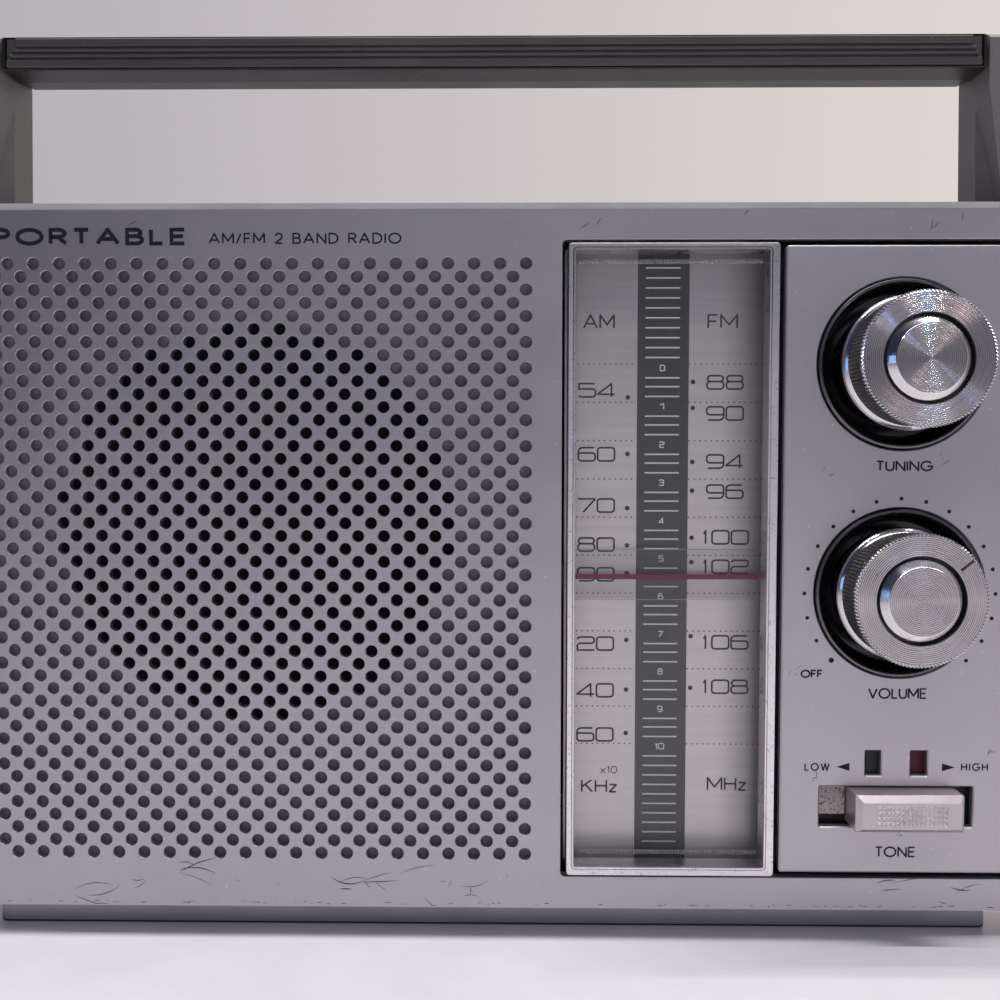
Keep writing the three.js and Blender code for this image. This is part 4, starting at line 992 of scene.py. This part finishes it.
TIP = [(0, -6), (1.8, -5.95), (2.6, -5.7), (3.1, -5.1), (3.2, -4.4), (3.2, -1.7), (3.0, -1.2), (2.4, -0.6),
       (1.4, 0.5)]
tip_piece = Build()
knob_end = [(radius, TIP_X + along) for radius, along in TIP]
turned(tip_piece, [*knob_end, (1.4, HINGE_X - 19), (0, HINGE_X - 19)], ROD, "x", 40)
tip_piece.make("antenna_head", "antenna_end", [BRIGHT], ["antenna_tip"])

# ---- small round parts of the case
HUB = [(0, 110.5), (5.5, 110.5), (5.5, 115.2), (3, 115.2), (3, 127.8), (6, 127.8), (6, 129.6), (5.7, 130.2),
       (5.1, 130.55), (1.6, 130.6), (1.4, 130.25), (0, 130.2)]
for side, name in ((-1, "left"), (1, "right")):
    hub = Build()
    turned(hub, [(radius, along * side) for radius, along in HUB], (0, 22.0, 140.0), "x", 56)
    hub.make("pivot_hub_" + name, "case", [BRIGHT], ["handle_pivot_" + name])

# ---- materials of the CAD nodes that stay
DIAL = brushed("dial_silver", (0.74, 0.7, 0.71), 0.3, 0.5, 700.0, (0.05, 1, 1))
# painted shade: the dial darker towards its top and its right side, where the frame shades it, and the dial
# strip and the chrome trim darker towards the top
PAINTED_SHADE = ((DIAL, "Z", 115.0, 158.0, 0.38), (DIAL, "X", 55.0, 63.0, 0.5),
          (STRIP_INK, "Z", 90.0, 150.0, 0.75), (CHROME, "Z", 125.0, 163.0, 0.45))
for finish, axis, start, end, weight in PAINTED_SHADE:
    tint_along(finish, axis, 200.0, (start, 0.0), (end, weight), grey(0.0))
CHASSIS = moulded("chassis_steel", (0.06, 0.06, 0.065), 0.5, metallic=0.4)
CORD = moulded("cord_fibre", (0.55, 0.5, 0.4), 0.8, grain=3000.0, depth=0.05)
PULLEY = moulded("pulley_plastic", (0.5, 0.49, 0.45), 0.5)
POINTER = moulded("pointer_red", (0.2, 0.01, 0.065), 0.4, grain=1500.0)
PAPER = moulded("speaker_paper", (0.02, 0.019, 0.018), 0.85, depth=0.2)
MAGNET = moulded("magnet_ferrite", (0.03, 0.03, 0.032), 0.6)
COPPER = moulded("coil_copper", (0.5, 0.2, 0.08), 0.35, metallic=0.9)
BOARD = moulded("board_green", (0.05, 0.13, 0.06), 0.5)
CELL = moulded("cell_jacket", (0.1, 0.12, 0.2), 0.35, metallic=0.3)

FOUR = range(1, 5)
FINISHES = (
    (CASE, "rear_cabinet", "battery_door"), (PLINTH, "base_plinth"), (HANDLE, "handle_grip"),
    (TEXTURED, "handle_arm_left", "handle_arm_right"), (CLEAR, "dial_lens", "pointer_plate"),
    (DIAL, "dial_plate"), (CHASSIS, "dial_chassis"), (POINTER, "pointer_line"), (CORD, "dial_cord"),
    (PULLEY, "cord_drum", "cord_pulley_top", "cord_pulley_bottom"),
    (INNER, "tone_switch", "band_switch", "battery_tray"),
    (BLACK, "band_slider", "ac_inlet", "earphone_jack"), (BRIGHT, "antenna_swivel"),
    (CLOTH, "speaker_cloth"), (PAPER, "speaker_cone"), (MAGNET, "speaker_magnet", "ferrite_rod"),
    (BOARD, "circuit_board"), (COPPER, "ferrite_coil"), (CELL, *[f"battery_cell_{i}" for i in FOUR]),
    (STEEL, "speaker_basket", "tuning_capacitor", "transformer", "tuning_spindle", "volume_shaft",
     "volume_potentiometer", *[f"case_screw_{i}" for i in FOUR]),
)
SOFTENED = {"rear_cabinet": 0.5, "battery_door": 0.3, "base_plinth": 0.6, "handle_grip": 0.35,
            "handle_arm_left": 0.4, "handle_arm_right": 0.4, "pointer_line": 0.15, "band_slider": 0.2,
            "ac_inlet": 0.2}
for finish, *names in FINISHES:
    for name in names:
        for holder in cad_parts[name].material_slots:
            holder.link = "OBJECT"
            holder.material = finish
for name, width in SOFTENED.items():
    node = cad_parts[name]
    join = node.modifiers.new("join", "WELD")
    join.merge_threshold = 1e-6
    soften = node.modifiers.new("soften", "BEVEL")
    soften.width = width / 1000
    soften.segments = 2
    soften.limit_method = "ANGLE"
    soften.angle_limit = math.radians(40)
    soften.harden_normals = False

# ---- stage, lights and camera
FLOOR_PAINT = moulded("floor_paint", (0.8, 0.775, 0.81), 0.22, grain=14.0, depth=0.05, vary=0.04)
mesh = bpy.data.meshes.new("floor")
mesh.from_pydata([(-3, -3, 0), (3, -3, 0), (3, 3, 0), (-3, 3, 0)], [], [[0, 1, 2, 3]])
mesh.materials.append(FLOOR_PAINT)
floor = bpy.data.objects.new("floor", mesh)
bpy.context.scene.collection.objects.link(floor)
solids = [o for o in bpy.context.scene.objects if o.type == "MESH" and o != floor]


def named(*names):
    return [o for o in solids if o.name in names]


def area_light(name, spot, target, size, power, colour, lit=None):
    """A rectangular lamp. Given a list of objects, it lights only these and leaves no pattern elsewhere."""
    data = bpy.data.lights.new(name, "AREA")
    data.shape = "RECTANGLE"
    data.size, data.size_y = size
    data.energy = power
    data.color = colour
    light = bpy.data.objects.new(name, data)
    light.location = spot
    light.rotation_euler = (Vector(target) - Vector(spot)).to_track_quat("-Z", "Y").to_euler()
    bpy.context.scene.collection.objects.link(light)
    if lit:
        group = bpy.data.collections.new(name + "_lit")
        for thing in lit:
            group.objects.link(thing)
        light.light_linking.receiver_collection = group


LIGHTS = (
    ("overhead", (0.05, -0.0115, 1.0), (0.05, -0.0115, 0.0), (1.0, 0.014), 9.6, (1.0, 0.98, 0.99)),
    ("front_fill", (0.1, -1.1, 0.5), (0.0, 0.0, 0.1), (0.9, 0.4), 0.3, (0.88, 0.92, 1.0)),
    ("front_top", (0.12, -0.55, 0.9), (0.03, -0.1, 0.0), (0.8, 0.2), 2.0, (1.0, 0.97, 0.98), solids),
    ("edge_light", (0.05, -0.55, 0.95), (0.05, -0.03, 0.165), (1.0, 0.08), 3.0, (1.0, 0.98, 1.0),
     named("panel", "grip_ribs")),
    ("tone_light", (0.1, -0.85, 0.75), (0.1, -0.04, 0.03), (0.5, 0.2), 4.5, (1.0, 0.98, 1.0),
     named("tone_grip")),
    ("table_light", (0.15, -0.55, 0.2), (0.15, -0.55, 0.0), (1.1, 0.3), 1.5, (1.0, 0.97, 1.0), [floor]),
)
for light in LIGHTS:
    area_light(*light)
WARM = (1.0, 0.95, 0.92)
LAMPS = ((0.332, -0.888, 0.613, 0.02, 0.5, WARM), (0.417, -0.86, 0.613, 0.02, 0.7, (0.3, 0.6, 1.0)),
         (0.507, -0.818, 0.613, 0.02, 0.5, WARM), (0.037, -0.919, 0.613, 0.02, 1.2, (0.3, 0.45, 1.0)),
         (-0.099, -0.899, 0.613, 0.02, 1.2, WARM), (0.711, -0.668, 0.613, 0.25, 1.3, (1.0, 0.82, 0.78)),
         (-0.6, -0.45, 0.16, 0.2, 0.16, (0.3, 0.55, 1.0)))
BETWEEN_KNOBS = (0.095, -0.04, 0.11)
turned_metal = named("tuning_dial_knob", "tuning_dial_knob_disc", "volume_dial_knob", "volume_dial_knob_disc")
for i, (x, y, z, size, power, colour) in enumerate(LAMPS):
    area_light(f"lamp_{i + 1}", (x, y, z), BETWEEN_KNOBS, (size, size), power, colour, turned_metal)

world = bpy.data.worlds.new("studio")
bpy.context.scene.world = world
tree = Tree(world)
towards = tree.axes(tree.where("Generated"))
across = tree.maths("MULTIPLY_ADD", towards["X"], 1.1, 0.5)
wall_colour = tree.ramp(across, (0.0, (0.46, 0.43, 0.47, 1)), (0.5, (0.6, 0.56, 0.57, 1)),
                        (1.0, (0.77, 0.7, 0.66, 1)))
depth = tree.maths("MULTIPLY_ADD", towards["Y"], 0.5, 0.5)
ahead = tree.ramp(depth, (0.35, grey(0.0)), (0.7, grey(1.0)))
room = tree.ramp(across, (0.1, (0.03, 0.034, 0.07, 1)), (0.9, (0.34, 0.33, 0.38, 1)))
high_up = tree.ramp(towards["Z"], (0.0, grey(0.0)), (0.4, grey(0.55)))
room = tree.mix(high_up, room, (0.03, 0.033, 0.05, 1))
tree.set(tree.nodes["Background"], {"Color": tree.mix(ahead, room, wall_colour), "Strength": 1.0})

CAMERA_SPOT = (5.6, -246.7, 112.6)
CAMERA_TURN = (87.49, -0.067, 0.754)
data = bpy.data.cameras.new("camera")
data.sensor_width = 36.0
data.lens = 38.3
data.clip_start, data.clip_end = 0.01, 50
camera = bpy.data.objects.new("camera", data)
camera.location = place(*CAMERA_SPOT)
camera.rotation_euler = [math.radians(a) for a in CAMERA_TURN]
bpy.context.scene.collection.objects.link(camera)
bpy.context.scene.camera = camera
bpy.context.scene.view_settings.view_transform = "Standard"
